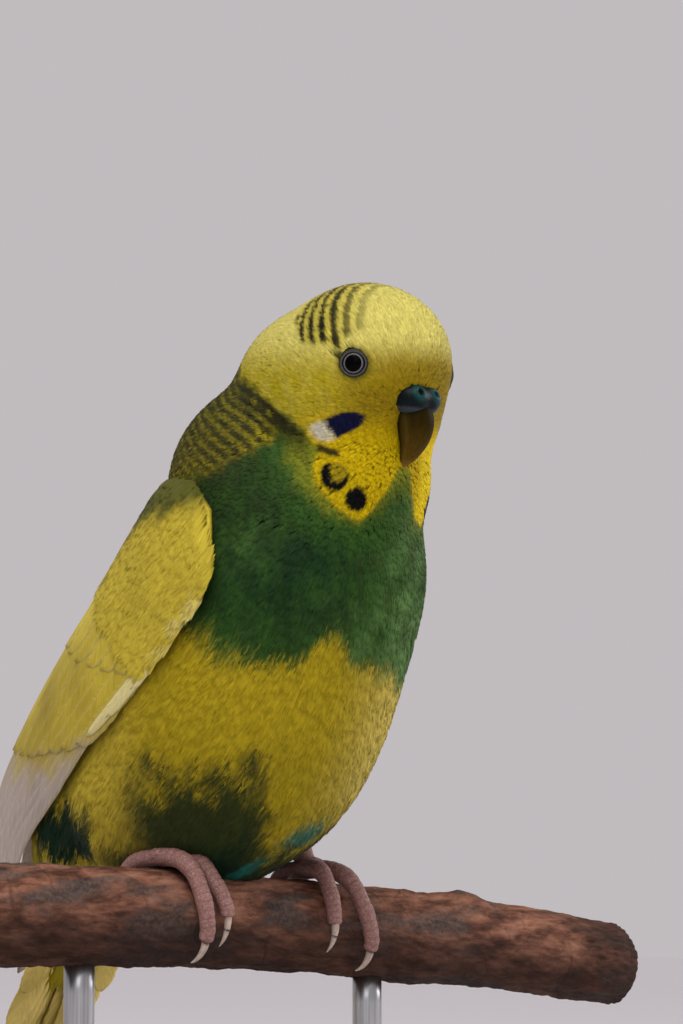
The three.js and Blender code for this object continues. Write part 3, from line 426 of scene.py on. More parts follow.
    # Olive ring of dark bristles round each eye, darkened also as painted shade at the eye's rim
    from_eye = np.minimum(*(np.linalg.norm(p - EYES[s] - EYE_WAYS[s] * 2.4, axis=-1) for s in EYES))
    colour = paint(colour, OLIVE, smooth(3.3, 2.3, from_eye + 0.2 * speck) * 0.75)
    colour = paint(colour, SPOT_BLACK, outline_share(mirrored, [(-6.6, 1.4), (-5.6, 1.9), (-4.4, 1.6), (-4.9, 0.5), (-5.8, 0.7)], 0.3) * 0.9)
    bristle = outline_share(mirrored, [(-3.6, -3.0), (1.5, -5.5), (2.0, -8.0), (-3.8, -7.0)], 1.2)
    colour = paint(colour, (0.10, 0.07, 0.004), bristle * smooth(0.1, 0.9, ripple(mirrored, 1.1, 8)) * 0.6)
    return colour


# Making meshes
def as_row(points):
    return (np.asarray(points, float) + BIRD_ORIGIN) * MM


def new_piece(name, points, faces, material, slot, colour=None, vane=None, bake=None, normals=None):
    """A mesh object from points and lists of triangles or quads, riding on the model."""
    faces = faces if isinstance(faces, list) else [faces]
    mesh = bpy.data.meshes.new(name)
    mesh.vertices.add(len(points))
    mesh.vertices.foreach_set("co", as_row(points).astype(np.float32).ravel())
    corners = np.concatenate([np.asarray(f).ravel() for f in faces]).astype(np.int32)
    sizes = np.concatenate([np.full(len(f), np.asarray(f).shape[1]) for f in faces])
    starts = np.concatenate([[0], np.cumsum(sizes)[:-1]]).astype(np.int32)
    mesh.loops.add(len(corners))
    mesh.loops.foreach_set("vertex_index", corners)
    mesh.polygons.add(len(sizes))
    mesh.polygons.foreach_set("loop_start", starts)
    mesh.polygons.foreach_set("use_smooth", np.ones(len(sizes), bool))
    mesh.update(calc_edges=True)
    if colour is not None:
        layer = mesh.color_attributes.new(name="Col", type="FLOAT_COLOR", domain="POINT")
        rgba = np.concatenate([colour.reshape(-1, 3), np.ones((len(points), 1))], 1)
        layer.data.foreach_set("color", rgba.astype(np.float32).ravel())
    if vane is not None:
        layer = mesh.attributes.new(name="vane", type="FLOAT_VECTOR", domain="POINT")
        layer.data.foreach_set("vector", vane.reshape(-1, 3).astype(np.float32).ravel())
    if bake is not None:
        layer = mesh.uv_layers.new(name="OFBake")
        layer.data.foreach_set("uv", bake.reshape(-1, 2)[corners].astype(np.float32).ravel())
    if normals is not None:
        mesh.normals_split_custom_set_from_vertices(normals.reshape(-1, 3))
    mesh.materials.append(material)
    piece = bpy.data.objects.new(name, mesh)
    bpy.context.scene.collection.objects.link(piece)
    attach(piece, "root")
    return piece


def grid_faces(rows, columns, wrap=True):
    """Quads of a grid of points, closed round when wrap is true."""
    i = np.arange(rows - 1)[:, None]
    j = np.arange(columns if wrap else columns - 1)[None, :]
    k = (j + 1) % columns
    quads = np.stack([i * columns + j, i * columns + k, (i + 1) * columns + k, (i + 1) * columns + j], -1)
    return quads.reshape(-1, 4)


def fan(centre, ring, flip=False):
    ring = np.asarray(ring)
    after = np.roll(ring, -1)
    tris = np.stack([np.full(len(ring), centre), ring, after], 1)
    return tris[:, ::-1] if flip else tris


def tube_piece(name, rings, material, slot, **layers):
    """A closed tube from rings of points, shape rows x columns x 3, its ends closed by fans."""
    rows, columns = rings.shape[:2]
    points = np.concatenate([rings.reshape(-1, 3), rings[0].mean(0)[None], rings[-1].mean(0)[None]])
    count = rows * columns
    faces = [grid_faces(rows, columns),
             np.concatenate([fan(count, np.arange(columns), True), fan(count + 1, np.arange(count - columns, count))])]
    middle = points[:count].mean(0)
    a, b, c = (points[faces[0][:, k]] for k in (0, 1, 2))
    if (np.cross(b - a, c - a) * (a - middle)).sum() < 0:
        faces = [f[:, ::-1] for f in faces]
    return new_piece(name, points, faces, material, slot, **layers)


# Materials
class Shader:
    """A material under construction, its nodes made by short calls."""

    def __init__(self, name, **constants):
        self.material = bpy.data.materials.new(name)
        self.material.use_nodes = True
        self.tree = self.material.node_tree
        self.surface = self.tree.nodes["Principled BSDF"]
        for key, value in constants.items():
            self.surface.inputs[key.replace("_", " ")].default_value = value

    def node(self, kind, inputs=None, **settings):
        made = self.tree.nodes.new(kind)
        for key, value in settings.items():
            setattr(made, key, value)
        for key, value in (inputs or {}).items():
            if hasattr(value, "is_linked"):
                self.tree.links.new(value, made.inputs[key])
            else:
                made.inputs[key].default_value = value
        return made

    def attribute(self, name, output):
        return self.node("ShaderNodeAttribute", attribute_name=name).outputs[output]

    def object_place(self):
        return self.node("ShaderNodeTexCoord").outputs["Object"]

    def mapped(self, vector, scale):
        return self.node("ShaderNodeMapping", {"Vector": vector, "Scale": scale}).outputs[0]

    def noise(self, vector, scale, detail=4, roughness=0.55):
        made = self.node("ShaderNodeTexNoise", {"Vector": vector, "Scale": scale, "Detail": detail, "Roughness": roughness})
        return made.outputs["Fac"]

    def ramp(self, value, stops):
        made = self.node("ShaderNodeValToRGB", {"Fac": value})
        elements = made.color_ramp.elements
        while len(elements) < len(stops):
            elements.new(0.5)
        for element, (at, colour) in zip(elements, stops):
            element.position = at
            element.color = tuple(colour) + (1,) if len(colour) == 3 else colour
        return made.outputs["Color"]

    def mix(self, a, b, share, blend="MIX"):
        made = self.node("ShaderNodeMix", data_type="RGBA", blend_type=blend)
        for index, value in ((0, share), (6, a), (7, b)):
            if hasattr(value, "is_linked"):
                self.tree.links.new(value, made.inputs[index])
            elif index == 0:
                made.inputs[0].default_value = value
            else:
                made.inputs[index].default_value = tuple(value) + (1,)
        return made.outputs[2]

    def span(self, value, low, high, start=0.0, end=1.0):
        made = self.node("ShaderNodeMapRange", {"Value": value, "From Min": start, "From Max": end, "To Min": low, "To Max": high})
        return made.outputs[0]

    def math(self, kind, a, b=0.0):
        made = self.node("ShaderNodeMath", operation=kind)
        for index, value in ((0, a), (1, b)):
            if hasattr(value, "is_linked"):
                self.tree.links.new(value, made.inputs[index])
            else:
                made.inputs[index].default_value = value
        return made.outputs[0]

    def bump(self, height, strength, distance):
        made = self.node("ShaderNodeBump", {"Height": height, "Strength": strength, "Distance": distance * MM})
        self.tree.links.new(made.outputs[0], self.surface.inputs["Normal"])

    def link(self, output, socket):
        self.tree.links.new(output, self.surface.inputs[socket])
        return self


def barbs(shader, fine, slant):
    """Streaks along the barbs of a vane, from its own across and along measures."""
    parts = shader.node("ShaderNodeSeparateXYZ", {"Vector": shader.attribute("vane", "Vector")}).outputs
    across = shader.math("ABSOLUTE", parts[0])
    run = shader.math("SUBTRACT", parts[1], shader.math("MULTIPLY", across, slant))
    place = shader.node("ShaderNodeCombineXYZ", {"X": shader.math("MULTIPLY", run, fine), "Y": shader.math("MULTIPLY", parts[0], 1.5), "Z": shader.math("MULTIPLY", parts[2], 40.0)}).outputs[0]
    return shader.noise(place, 1.0, 3), parts


def coat_material():
    s = Shader("plumage", Roughness=0.75, Specular_IOR_Level=0.07, Sheen_Weight=0.02, Sheen_Roughness=0.5)
    parts = s.node("ShaderNodeSeparateXYZ", {"Vector": s.attribute("vane", "Vector")}).outputs
    place = s.node("ShaderNodeCombineXYZ", {"X": s.math("MULTIPLY", parts[0], 5.0), "Y": s.math("MULTIPLY", parts[1], 1.2), "Z": s.math("MULTIPLY", parts[2], 60.0)}).outputs[0]
    streak = s.noise(place, 1.0, 2)
    tint = s.span(streak, 0.80, 1.20, 0.25, 0.75)
    grey = s.node("ShaderNodeCombineColor", {"Red": tint, "Green": tint, "Blue": tint}).outputs[0]
    s.link(s.mix(s.attribute("Col", "Color"), grey, 1.0, "MULTIPLY"), "Base Color")
    s.bump(streak, 0.3, 0.06)
    return s.material


def vane_material():
    s = Shader("flight_feather", Roughness=0.65, Specular_IOR_Level=0.10, Sheen_Weight=0.02, Sheen_Roughness=0.5)
    streak, parts = barbs(s, 60.0, 0.12)
    tint = s.span(streak, 0.80, 1.18, 0.25, 0.75)
    grey = s.node("ShaderNodeCombineColor", {"Red": tint, "Green": tint, "Blue": tint}).outputs[0]
    shaft = s.span(s.math("ABSOLUTE", parts[0]), 1.0, 0.0, 0.02, 0.06)
    coloured = s.mix(s.attribute("Col", "Color"), grey, 1.0, "MULTIPLY")
    s.link(s.mix(coloured, (0.50, 0.42, 0.26), s.math("MULTIPLY", shaft, 0.16)), "Base Color")
    s.bump(streak, 0.4, 0.15)
    return s.material


def skin_material():
    s = Shader("skin_under_plumage", Roughness=0.9, Specular_IOR_Level=0.1)
    place = s.object_place()
    down = s.noise(place, 1800, 3)
    # Painted shade: the plumage colours on the skin a little darker, for the gaps between feathers
    gap_shade = s.mix(s.attribute("Col", "Color"), (0.02, 0.02, 0.010), 0.08)
    s.link(s.mix(gap_shade, s.ramp(down, [(0.3, (0.85, 0.85, 0.85)), (0.7, (1.15, 1.15, 1.15))]), 1.0, "MULTIPLY"), "Base Color")
    s.bump(down, 0.5, 0.3)
    return s.material


COAT = coat_material()
VANE = vane_material()
SKIN = skin_material()


# Skin: rows from the tail's root over neck and skull to the crown, the same unwrap carries the coat
SKIN_ROWS = 150
SKIN_COLUMNS = 128
TAIL_SHARE = 0.08
NECK_SHARE = 0.66


def skin_surface(rows, columns, level_of):
    t = np.linspace(0, 1, rows + 2)[1:-1]
    turn = np.arange(columns) * 2 * math.pi / columns

    def ways_at(at):
        centre, along, side, up = spine_frame(at)
        ways = up[..., None, :] * np.cos(turn)[:, None] + side[..., None, :] * np.sin(turn)[:, None]
        return centre, along, ways

    origins = np.zeros((rows, columns, 3))
    ways = np.zeros((rows, columns, 3))
    tail = t < TAIL_SHARE
    centre, along, round_ = ways_at(np.array(TAIL_ROOT_AT))
    lift = (1 - t[tail] / TAIL_SHARE) * math.pi / 2
    origins[tail] = centre
    ways[tail] = round_[None] * np.cos(lift)[:, None, None] - along * np.sin(lift)[:, None, None]
    trunk = (t >= TAIL_SHARE) & (t < NECK_SHARE)
    at = TAIL_ROOT_AT + (HEAD_ROOT_AT - TAIL_ROOT_AT) * (t[trunk] - TAIL_SHARE) / (NECK_SHARE - TAIL_SHARE)
    centres, _, round_ = ways_at(at)
    origins[trunk] = centres[:, None]
    ways[trunk] = round_
    head = t >= NECK_SHARE
    centre, along, round_ = ways_at(np.array(HEAD_ROOT_AT))
    neck = crossing(np.broadcast_to(centre, round_.shape), round_, 0.0)
    start = unit(neck - SKULL_MIDDLE)
    pole = unit(SKULL_MIDDLE - centre)
    share = (t[head] - NECK_SHARE) / (1 - NECK_SHARE)
    angle = np.arccos(np.clip(start @ pole, -1, 1))
    a = np.sin((1 - share[:, None]) * angle) / np.sin(angle)
    b = np.sin(share[:, None] * angle) / np.sin(angle)
    origins[head] = SKULL_MIDDLE
    ways[head] = unit(a[..., None] * start[None] + b[..., None] * pole)
    outer = crossing(origins, ways, 0.0)
    points = outer - outward(outer) * level_of(outer)[..., None]
    return points, t, turn, pole


skin_points, skin_t, skin_turn, crown_way = skin_surface(SKIN_ROWS, SKIN_COLUMNS, coat_depth)


def build_skin():
    flat = skin_points.reshape(-1, 3)
    tail_end = skin_points[0].mean(0)
    crown_end = skin_points[-1].mean(0)
    points = np.concatenate([flat, tail_end[None], crown_end[None]])
    count = len(flat)
    faces = [grid_faces(SKIN_ROWS, SKIN_COLUMNS),
             np.concatenate([fan(count, np.arange(SKIN_COLUMNS), True), fan(count + 1, np.arange(count - SKIN_COLUMNS, count))])]
    a, b, c = (points[faces[0][:, k]] for k in (0, 1, 2))
    if (np.cross(b - a, c - a) * outward((a + b + c) / 3)).sum() < 0:
        faces = [f[:, ::-1] for f in faces]
    piece = new_piece("skin", points, faces, SKIN, "body_plumage", colour=plumage_colour(points))
    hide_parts("torso", "neck", "head", "leg_left", "leg_right")


build_skin()


# Wing surface, right side: station and degrees round from the back
def wing_surface(u, degrees):
    u, degrees = np.broadcast_arrays(np.asarray(u, float), np.asarray(degrees, float))
    low = curve(WING_LOW_LINE, u)
    back = curve(WING_BACK_LINE, u)
    corner = np.stack([np.full(u.shape, WING_BACK_X), low[..., 1], low[..., 2]], -1)
    to_back = np.stack([np.full(u.shape, WING_BACK_X), back[..., 0], back[..., 1]], -1) - corner
    c, s = np.cos(np.radians(degrees)), np.sin(np.radians(degrees))
    full = (np.abs(c) ** WING_FULLNESS + np.abs(s) ** WING_FULLNESS) ** (-1 / WING_FULLNESS)
    return corner + to_back * (c * full)[..., None] + (low - corner) * (s * full)[..., None]


def wing_out(u, degrees):
    along = wing_surface(u + 0.02, degrees) - wing_surface(u - 0.02, degrees)
    round_ = wing_surface(u, degrees + 0.5) - wing_surface(u, degrees - 0.5)
    return unit(np.cross(along, round_))


def per_degree(u, degrees):
    return np.linalg.norm(wing_surface(u, degrees + 0.5) - wing_surface(u, degrees - 0.5), axis=-1)


# Templates of feathers
def tuft_template(rows, teeth):
    """A thin closed vane: a root, rows of points across its top, pointed teeth at the tip and one point below.

    Gives its triangles, the numbers of the row points, of the tips and of the point below, and the size.
    """
    columns = teeth + 1
    top = [[1 + r * columns + c for c in range(columns)] for r in range(rows)]
    tips = list(range(1 + rows * columns, 1 + rows * columns + teeth))
    below = tips[-1] + 1
    faces = []
    for c in range(teeth):
        faces.append((0, top[0][c], top[0][c + 1]))
        for a, b in zip(top, top[1:]):
            faces += [(a[c], b[c], b[c + 1]), (a[c], b[c + 1], a[c + 1])]
        faces.append((top[-1][c], tips[c], top[-1][c + 1]))
    edge = [0] + [row[0] for row in top]
    for c in range(teeth):
        edge += [tips[c], top[-1][c + 1]]
    edge += [row[-1] for row in top[-2::-1]]
    faces += [(b, a, below) for a, b in zip(edge, edge[1:] + edge[:1])]
    return np.array(faces), top, tips, below, below + 1


def soft_normals(outs, sides, vane, strand, teeth, draw, round_=0.20, loose=0.10):
    """Shading normals of tufts: outward, gently rounded across each vane and a little loose from barb to barb."""
    n = len(outs)
    tilt = round_ * vane[..., 0] + draw.normal(0, loose, (n, teeth))[:, strand]
    return unit(outs[:, 2][:, None] + sides[:, 2][:, None] * tilt[..., None])


def tuft_mesh(line, sides, outs, wide, height, thick, teeth, draw, fray=0.34, splay=0.16):
    """Points of many tufts. line, sides and outs are tufts x rows + 2 x 3: root, rows and tip.

    Gives the points, the triangles of one tuft, each point's place on its vane, and its strand's number.
    """
    rows = line.shape[1] - 2
    faces, top, tips, below, size = tuft_template(rows, teeth)
    n = len(line)
    points = np.zeros((n, size, 3))
    vane = np.zeros((n, size, 3))
    strand = np.zeros(size, int)
    vane[..., 2] = draw.uniform(0, 1, n)[:, None]
    points[:, 0] = line[:, 0]
    for r in range(rows):
        for c, k in enumerate(np.linspace(-1, 1, teeth + 1)):
            up = height[:, r] * (1 - 0.16 * k * k)
            points[:, top[r][c]] = (line[:, r + 1] + sides[:, r + 1] * (wide[:, r] * k)[:, None]
                                    + outs[:, r + 1] * up[:, None])
            vane[:, top[r][c], 0] = k
            vane[:, top[r][c], 1] = (r + 1) / (rows + 1)
            strand[top[r][c]] = min(c, teeth - 1)
    points[:, below] = line[:, rows] + outs[:, rows] * (height[:, rows - 1] * 0.85 - thick)[:, None]
    forward = line[:, -1] - line[:, -2]
    for c in range(teeth):
        k = (2 * c + 1) / teeth - 1
        reach = draw.uniform(0.45, 1.3, n) * (1 - fray * k * k)
        spread = k + draw.normal(0, splay, n) + 0.12 * k
        up = height[:, -1] * (1 - 0.16 * k * k) * draw.uniform(0.93, 1.07, n)
        points[:, tips[c]] = (line[:, -2] + sides[:, -2] * (wide[:, -1] * spread)[:, None]
                              + forward * reach[:, None] + outs[:, -1] * up[:, None])
        vane[:, tips[c], 0] = k
        vane[:, tips[c], 1] = 1
        strand[tips[c]] = c
    return points, faces, vane, strand


def thinned(points, room, draw):
    """Indices of points kept so that none lies nearer than its room to one kept before."""
    order = draw.permutation(len(points))
    cell = float(room.max())
    shelves = {}
    kept = []
    keys = np.floor(points / cell).astype(int)
    near = [(a, b, c) for a in (-1, 0, 1) for b in (-1, 0, 1) for c in (-1, 0, 1)]
    for i in order:
        x, y, z = keys[i]
        p, r = points[i], room[i]
        clear = True
        for a, b, c in near:
            for q in shelves.get((x + a, y + b, z + c), ()):
                d = points[q] - p
                if d[0] * d[0] + d[1] * d[1] + d[2] * d[2] < r * r:
                    clear = False
                    break
            if not clear:
                break
        if clear:
            shelves.setdefault((x, y, z), []).append(i)
            kept.append(i)
    return np.array(kept)


FEATHER_ROOM = [[0, 0.40], [8, 0.42], [16, 0.50], [28, 0.60], [45, 0.74], [70, 0.84], [110, 0.95]]


def wing_cover():
    """Points over both wings with a mark on those at the edge."""
    u = np.linspace(0.05, WING_END, 60)[:, None]
    v = np.linspace(0, 1, 30)[None, :]
    top, low = table(WING_TOP, u), table(WING_LOW, u)
    right = wing_surface(u, top + (low - top) * v)
    rim = np.zeros(right.shape[:2], bool)
    rim[0] = rim[-1] = True
    rim[:, :2] = rim[:, -3:] = True
    both = np.concatenate([right.reshape(-1, 3), right.reshape(-1, 3) * [-1, 1, 1]])
    return both, np.concatenate([rim.ravel(), rim.ravel()])


def under_wing(points):
    cover, rim = wing_cover()
    tree = KDTree(len(cover))
    for i, p in enumerate(cover):
        tree.insert(p, i)
    tree.balance()
    found = [tree.find(p) for p in points]
    near = np.array([f[2] for f in found])
    edge = np.array([rim[f[1]] for f in found])
    return (near < 7) & ~edge


def coat_room(points):
    plain = table(FEATHER_ROOM, from_bill(points))
    return plain + (np.minimum(0.44, plain) - plain) * fine_share(points)


def fine_share(points):
    """Where short feathers carry fine marks: nape and mantle with their bars, and the bib with its spots."""
    h = head_place(points)
    mantle = smooth(-4, -8, h[..., 0]) * (from_bill(points) < 64) * smooth(-27, -23, h[..., 2])
    bib = 0.5 * smooth(-5, -2, h[..., 0]) * smooth(-10, -13, h[..., 2]) * smooth(-28, -26, h[..., 2])
    return np.maximum(mantle, bib)


def coat_roots(draw):
    """Roots of the body feathers on the skin, with their places on its unwrap."""
    a = skin_points
    right = np.roll(a, -1, 1)
    cells = np.linalg.norm(np.cross(right[:-1] - a[:-1], a[1:] - a[:-1]), axis=-1)
    middle = (a[:-1] + right[1:]) / 2
    room = coat_room(middle)
    weight = cells / room**2
    total = int(weight.sum() * 1.9)
    pick = draw.choice(weight.size, total, p=(weight / weight.sum()).ravel())
    i, j = np.unravel_index(pick, weight.shape)
    s, q = draw.uniform(size=(2, total))
    k = (j + 1) % SKIN_COLUMNS
    points = ((a[i, j] * (1 - q[:, None]) + a[i, k] * q[:, None]) * (1 - s[:, None])
              + (a[i + 1, j] * (1 - q[:, None]) + a[i + 1, k] * q[:, None]) * s[:, None])
    t = skin_t[i] * (1 - s) + skin_t[i + 1] * s
    turn = (j + q) / SKIN_COLUMNS
    keep = np.ones(total, bool)
    for side in EYES:
        keep &= np.linalg.norm(points - (EYES[side] + EYE_WAYS[side] * 2.3), axis=-1) > 2.15
    h = head_place(points)
    keep &= ~((h[:, 0] > 9.6) & (np.abs(h[:, 1]) < 2.7) & (h[:, 2] > -15.5) & (h[:, 2] < -3.6))
    keep &= ~under_wing(points)
    points, t, turn = points[keep], t[keep], turn[keep]
    room = coat_room(points)
    kept = thinned(points, room, draw)
    return points[kept], np.stack([turn[kept], t[kept]], 1), room[kept]


LEVELS = 4
# Groups of the coat: name, how far from the bill it ends, teeth of each tuft, slot
COAT_GROUPS = [("coat_face", 16, 5, "head_plumage"), ("coat_neck", 30, 6, "head_plumage"), ("coat_body", 999, 8, "body_plumage")]
MOST_TRIANGLES = 190000


def grow(roots, length, drift, depth):
    """Lines of feathers that follow the lie from their roots: points, ways across and ways out."""
    n = len(roots)
    line, sides, outs = (np.zeros((n, LEVELS, 3)) for _ in range(3))
    p = roots.copy()
    for k in range(LEVELS):
        out = outward(p)
        way = lie(p, out)
        side = np.cross(out, way)
        bent = unit(way + side * drift[:, None])
        line[:, k], sides[:, k], outs[:, k] = p, np.cross(out, bent), out
        if k < LEVELS - 1:
            p = p + bent * (length / (LEVELS - 1))[:, None]
            p = p - outward(p) * (plumage(p) + depth(p))[:, None]
    return line, sides, outs


def build_coat():
    draw = np.random.default_rng(11)
    roots, unwrap, room = coat_roots(draw)
    far = from_bill(roots)
    total = 0
    begin = 0
    for name, end, teeth, slot in COAT_GROUPS:
        chosen = np.flatnonzero((far >= begin) & (far < end))
        chosen = chosen[np.argsort(unwrap[chosen, 1], kind="stable")]
        begin = end
        most = MOST_TRIANGLES // len(tuft_template(2, teeth)[0])
        for part, start in enumerate(range(0, len(chosen), most)):
            some = chosen[start:start + most]
            total += coat_piece(f"{name}_{part + 1}", roots[some], unwrap[some], room[some], teeth, slot, draw)
    print("coat triangles", total)


def coat_piece(name, roots, unwrap, room, teeth, slot, draw):
    n = len(roots)
    far = from_bill(roots)
    length = np.interp(far, [0, 8, 16, 30, 50, 110], [1.6, 2.2, 3.0, 4.4, 6.2, 7.5]) * draw.uniform(0.8, 1.15, n)
    half = np.interp(far, [0, 16, 30, 50, 110], [0.42, 0.55, 0.75, 1.05, 1.2]) * draw.uniform(0.85, 1.15, n)
    fine = fine_share(roots)
    length = length * (1 - 0.45 * fine)
    half = half * (1 - 0.42 * fine)
    line, sides, outs = grow(roots, length, draw.normal(0, 0.07, n) * (1 - 0.6 * fine), coat_depth)
    line[:, 0] -= outs[:, 0] * 0.12
    loft = coat_depth(roots) * (1 + draw.uniform(-0.08, 0.03, n) * (1 - 0.6 * fine))
    height = loft[:, None] * np.array([0.58, 0.84, 0.98])[None]
    wide = half[:, None] * np.array([0.85, 1.0, 1.0])[None]
    points, faces, vane, strand = tuft_mesh(line, sides, outs, wide, height, np.full(n, 0.07), teeth, draw)
    loose = np.interp(far, [0, 14, 24, 45], [0.05, 0.10, 0.30, 1.1]) * (1 - 0.92 * fine)
    shift = draw.normal(0, 1, (n, teeth))[:, strand] * loose[:, None]
    ahead = unit(line[:, -1] - line[:, 0])
    where = points + ahead[:, None] * shift[..., None]
    colour = plumage_colour(where)
    # Painted shade: each tuft darker toward its root, where the tuft above covers it, with random tone per tuft and per
    # barb
    calm = np.interp(far, [0, 30, 60], [0.12, 0.10, 0.06])[:, None]
    bright = 1 + np.clip(draw.normal(0, 1, (n, teeth))[:, strand] * calm, -0.2, 0.5)
    shade = draw.uniform(0.96, 1.04, n)[:, None] * (0.92 + 0.10 * vane[..., 1]) * bright
    local = np.stack([vane[..., 0], vane[..., 1] - 0.5], -1) * 0.0015
    normals = soft_normals(outs, sides, vane, strand, teeth, draw, round_=0.13, loose=0.055)
    add_tufts(name, points, faces, vane, colour * shade[..., None], unwrap[:, None] + local, slot, normals)
    return n * len(faces)


def add_tufts(name, points, faces, vane, colour, bake, slot, normals):
    n, size = points.shape[:2]
    whole = (faces[None] + (np.arange(n) * size)[:, None, None]).reshape(-1, 3)
    return new_piece(name, points.reshape(-1, 3), whole, COAT, slot, colour=colour, vane=vane, bake=bake, normals=normals)


build_coat()


# Wings: a core inside the solid, rows of small coverts, and tiers of long feathers over it
WING_YELLOW = (0.47, 0.365, 0.032)
WING_PALE = (0.56, 0.49, 0.22)
# Painted light: the core's colours made brighter where it shows in the gaps between coverts
CORE_LIFT = 1.25
SHOULDER_OLIVE = (0.050, 0.060, 0.010)
WING_WHITE = (0.345, 0.285, 0.262)
WING_SHADE = (0.27, 0.198, 0.018)


def wing_colour(p, share, across):
    """Colours on the right wing: yellow, darker lower down in painted shade, whitish toward the tips of the long
    feathers.
    """
    x, y, z = p[..., 0], p[..., 1], p[..., 2]
    colour = np.broadcast_to(np.array(WING_YELLOW), p.shape).copy()
    # Painted shade: the wing darker lower down, over a random tone
    colour = paint(colour, WING_SHADE, 0.20 + 0.22 * ripple(p, 14, 5) + 0.55 * smooth(44, 16, z))
    low = smooth(20, 12, z + 0.12 * (y - 20) + 1.2 * ripple(p, 6, 6))
    colour = paint(colour, WING_WHITE, low * 0.9)
    colour = paint(colour, WING_PALE, smooth(0.62, 1.0, np.abs(across)) * 0.35)
    shoulder = smooth(54.5, 58.5, z + 0.10 * (y + 18) + 0.6 * ripple(p, 4, 7))
    colour = paint(colour, SHOULDER_OLIVE, shoulder * 0.92)
    mantle = smooth(9, 5, np.abs(x)) * smooth(42, 49, z)
    bar = np.abs((z / 1.9 + 0.2 * ripple(p, 5, 9)) % 1 - 0.5) * 2
    return paint(colour, BAR_BLACK, mantle * smooth(0.62, 0.35, bar) * 0.85)


def to_side(points, sign):
    """The right wing's points for sign -1, mirrored for sign 1."""
    return points * np.array([-sign, 1, 1])


def wing_core(side, sign):
    u = np.linspace(0.1, WING_END - 0.15, 56)[:, None]
    v = np.linspace(0.05, 0.95, 30)[None]
    degrees = table(WING_TOP, u) + (table(WING_LOW, u) - table(WING_TOP, u)) * v
    surface, out = wing_surface(u, degrees), wing_out(u, degrees)
    top = surface - out * 1.2
    thickness = np.interp(u, [0, 2.5, 3.6, 4.3, 5, 6], [7, 6, 2.2, 0.8, 0.5, 0.4]) * np.sin(np.pi * np.clip(v, 0.03, 0.97)) ** 0.5
    under = top - out * thickness[..., None]
    over = np.maximum(0.5 - plumage(under), 0)
    under = under + out * np.minimum(over, thickness * 0.9)[..., None]
    rings = np.concatenate([top, under[:, ::-1]], 1)
    flat = np.concatenate([rings.reshape(-1, 3), rings[0, :1], rings[-1, :1]])
    # Core colours brighter as painted light, against the shade in the gaps
    colour = wing_colour(flat, 1.0, np.zeros(len(flat))) * CORE_LIFT
    piece = tube_piece(f"wing_core_{side}", to_side(rings, sign), SKIN, "wing_feathers", colour=colour)
    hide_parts(f"wing_{side}")
    return piece


def long_vane(line, sides, outs, half, outline, thick, draw, columns=9, curl=0.12):
    """One long feather as a closed thin body with a raised shaft and a slightly frayed edge."""
    rows = len(line)
    t = np.linspace(0, 1, rows)
    k = np.linspace(-1, 1, columns)
    wide = half * outline(t)
    fringe = 1 + 0.035 * draw.normal(size=(rows, 2)) * (t[:, None] > 0.1)
    spread = np.where(k[None] < 0, fringe[:, :1], fringe[:, 1:]) * k[None]
    middle = line[:, None] + sides[:, None] * (wide[:, None] * spread)[..., None]
    shaft = 0.07 * np.exp(-((k / 0.10) ** 2))[None] * (1 - 0.8 * t[:, None])
    camber = -curl * half * (k**2)[None]
    top = middle + outs[:, None] * (camber + shaft + thick * 0.5 * (1 - 0.8 * k**2)[None])[..., None]
    below = middle + outs[:, None] * (camber - thick * 0.5 * (1 - 0.8 * k**2)[None])[..., None]
    ring = np.concatenate([top, below[:, ::-1]], 1)
    across = np.concatenate([k, k[::-1]])
    vane = np.zeros(ring.shape)
    vane[..., 0] = across[None]
    vane[..., 1] = t[:, None]
    vane[..., 2] = draw.uniform()
    return ring, vane


def feather_outline(blunt=0.22):
    def outline(t):
        base = 0.55 + 0.45 * smooth(0, 0.35, t)
        end = np.sqrt(np.clip(1 - (np.clip(t - (1 - blunt), 0, 1) / blunt) ** 2, 0.004, 1))
        return base * end
    return outline


def joined(rings, vanes, colours, name, slot, material, replaces=()):
    """Joins many closed feathers, each rows x columns, to one piece with its own bake patches."""
    points, faces, vane, colour, bake = [], [], [], [], []
    start = 0
    grid = math.ceil(math.sqrt(len(rings)))
    for index, (ring, v, c) in enumerate(zip(rings, vanes, colours)):
        rows, columns = ring.shape[:2]
        flat = np.concatenate([ring.reshape(-1, 3), ring[0].mean(0)[None], ring[-1].mean(0)[None]])
        count = rows * columns
        quads = grid_faces(rows, columns)
        caps = np.concatenate([fan(count, np.arange(columns), True), fan(count + 1, np.arange(count - columns, count))])
        a, b, d = (flat[quads[:, k]] for k in (0, 1, 2))
        half = columns // 2
        up = (ring[:, half // 2] - ring[:, half + half // 2])
        facing = np.cross(b - a, d - a).reshape(rows - 1, columns, 3)[:, half // 2]
        if (facing * up[:-1]).sum() < 0:
            quads, caps = quads[:, ::-1], caps[:, ::-1]
        tris = np.concatenate([quads[:, [0, 1, 2]], quads[:, [0, 2, 3]], caps])
        points.append(flat)
        faces.append(tris + start)
        ends = lambda x: np.concatenate([x.reshape(-1, x.shape[-1]), x[0].mean(0)[None], x[-1].mean(0)[None]])
        vane.append(ends(v))
        colour.append(ends(c))
        corner = np.array([index % grid, index // grid]) / grid
        bake.append(corner + (ends(v)[:, :2] * [0.22, 0.45] + [0.25, 0.02]) / grid * [1, 2] * 0.96)
        start += len(flat)
    return new_piece(name, np.concatenate(points), np.concatenate(faces), material, slot,
                     colour=np.concatenate(colour), vane=np.concatenate(vane), bake=np.concatenate(bake))


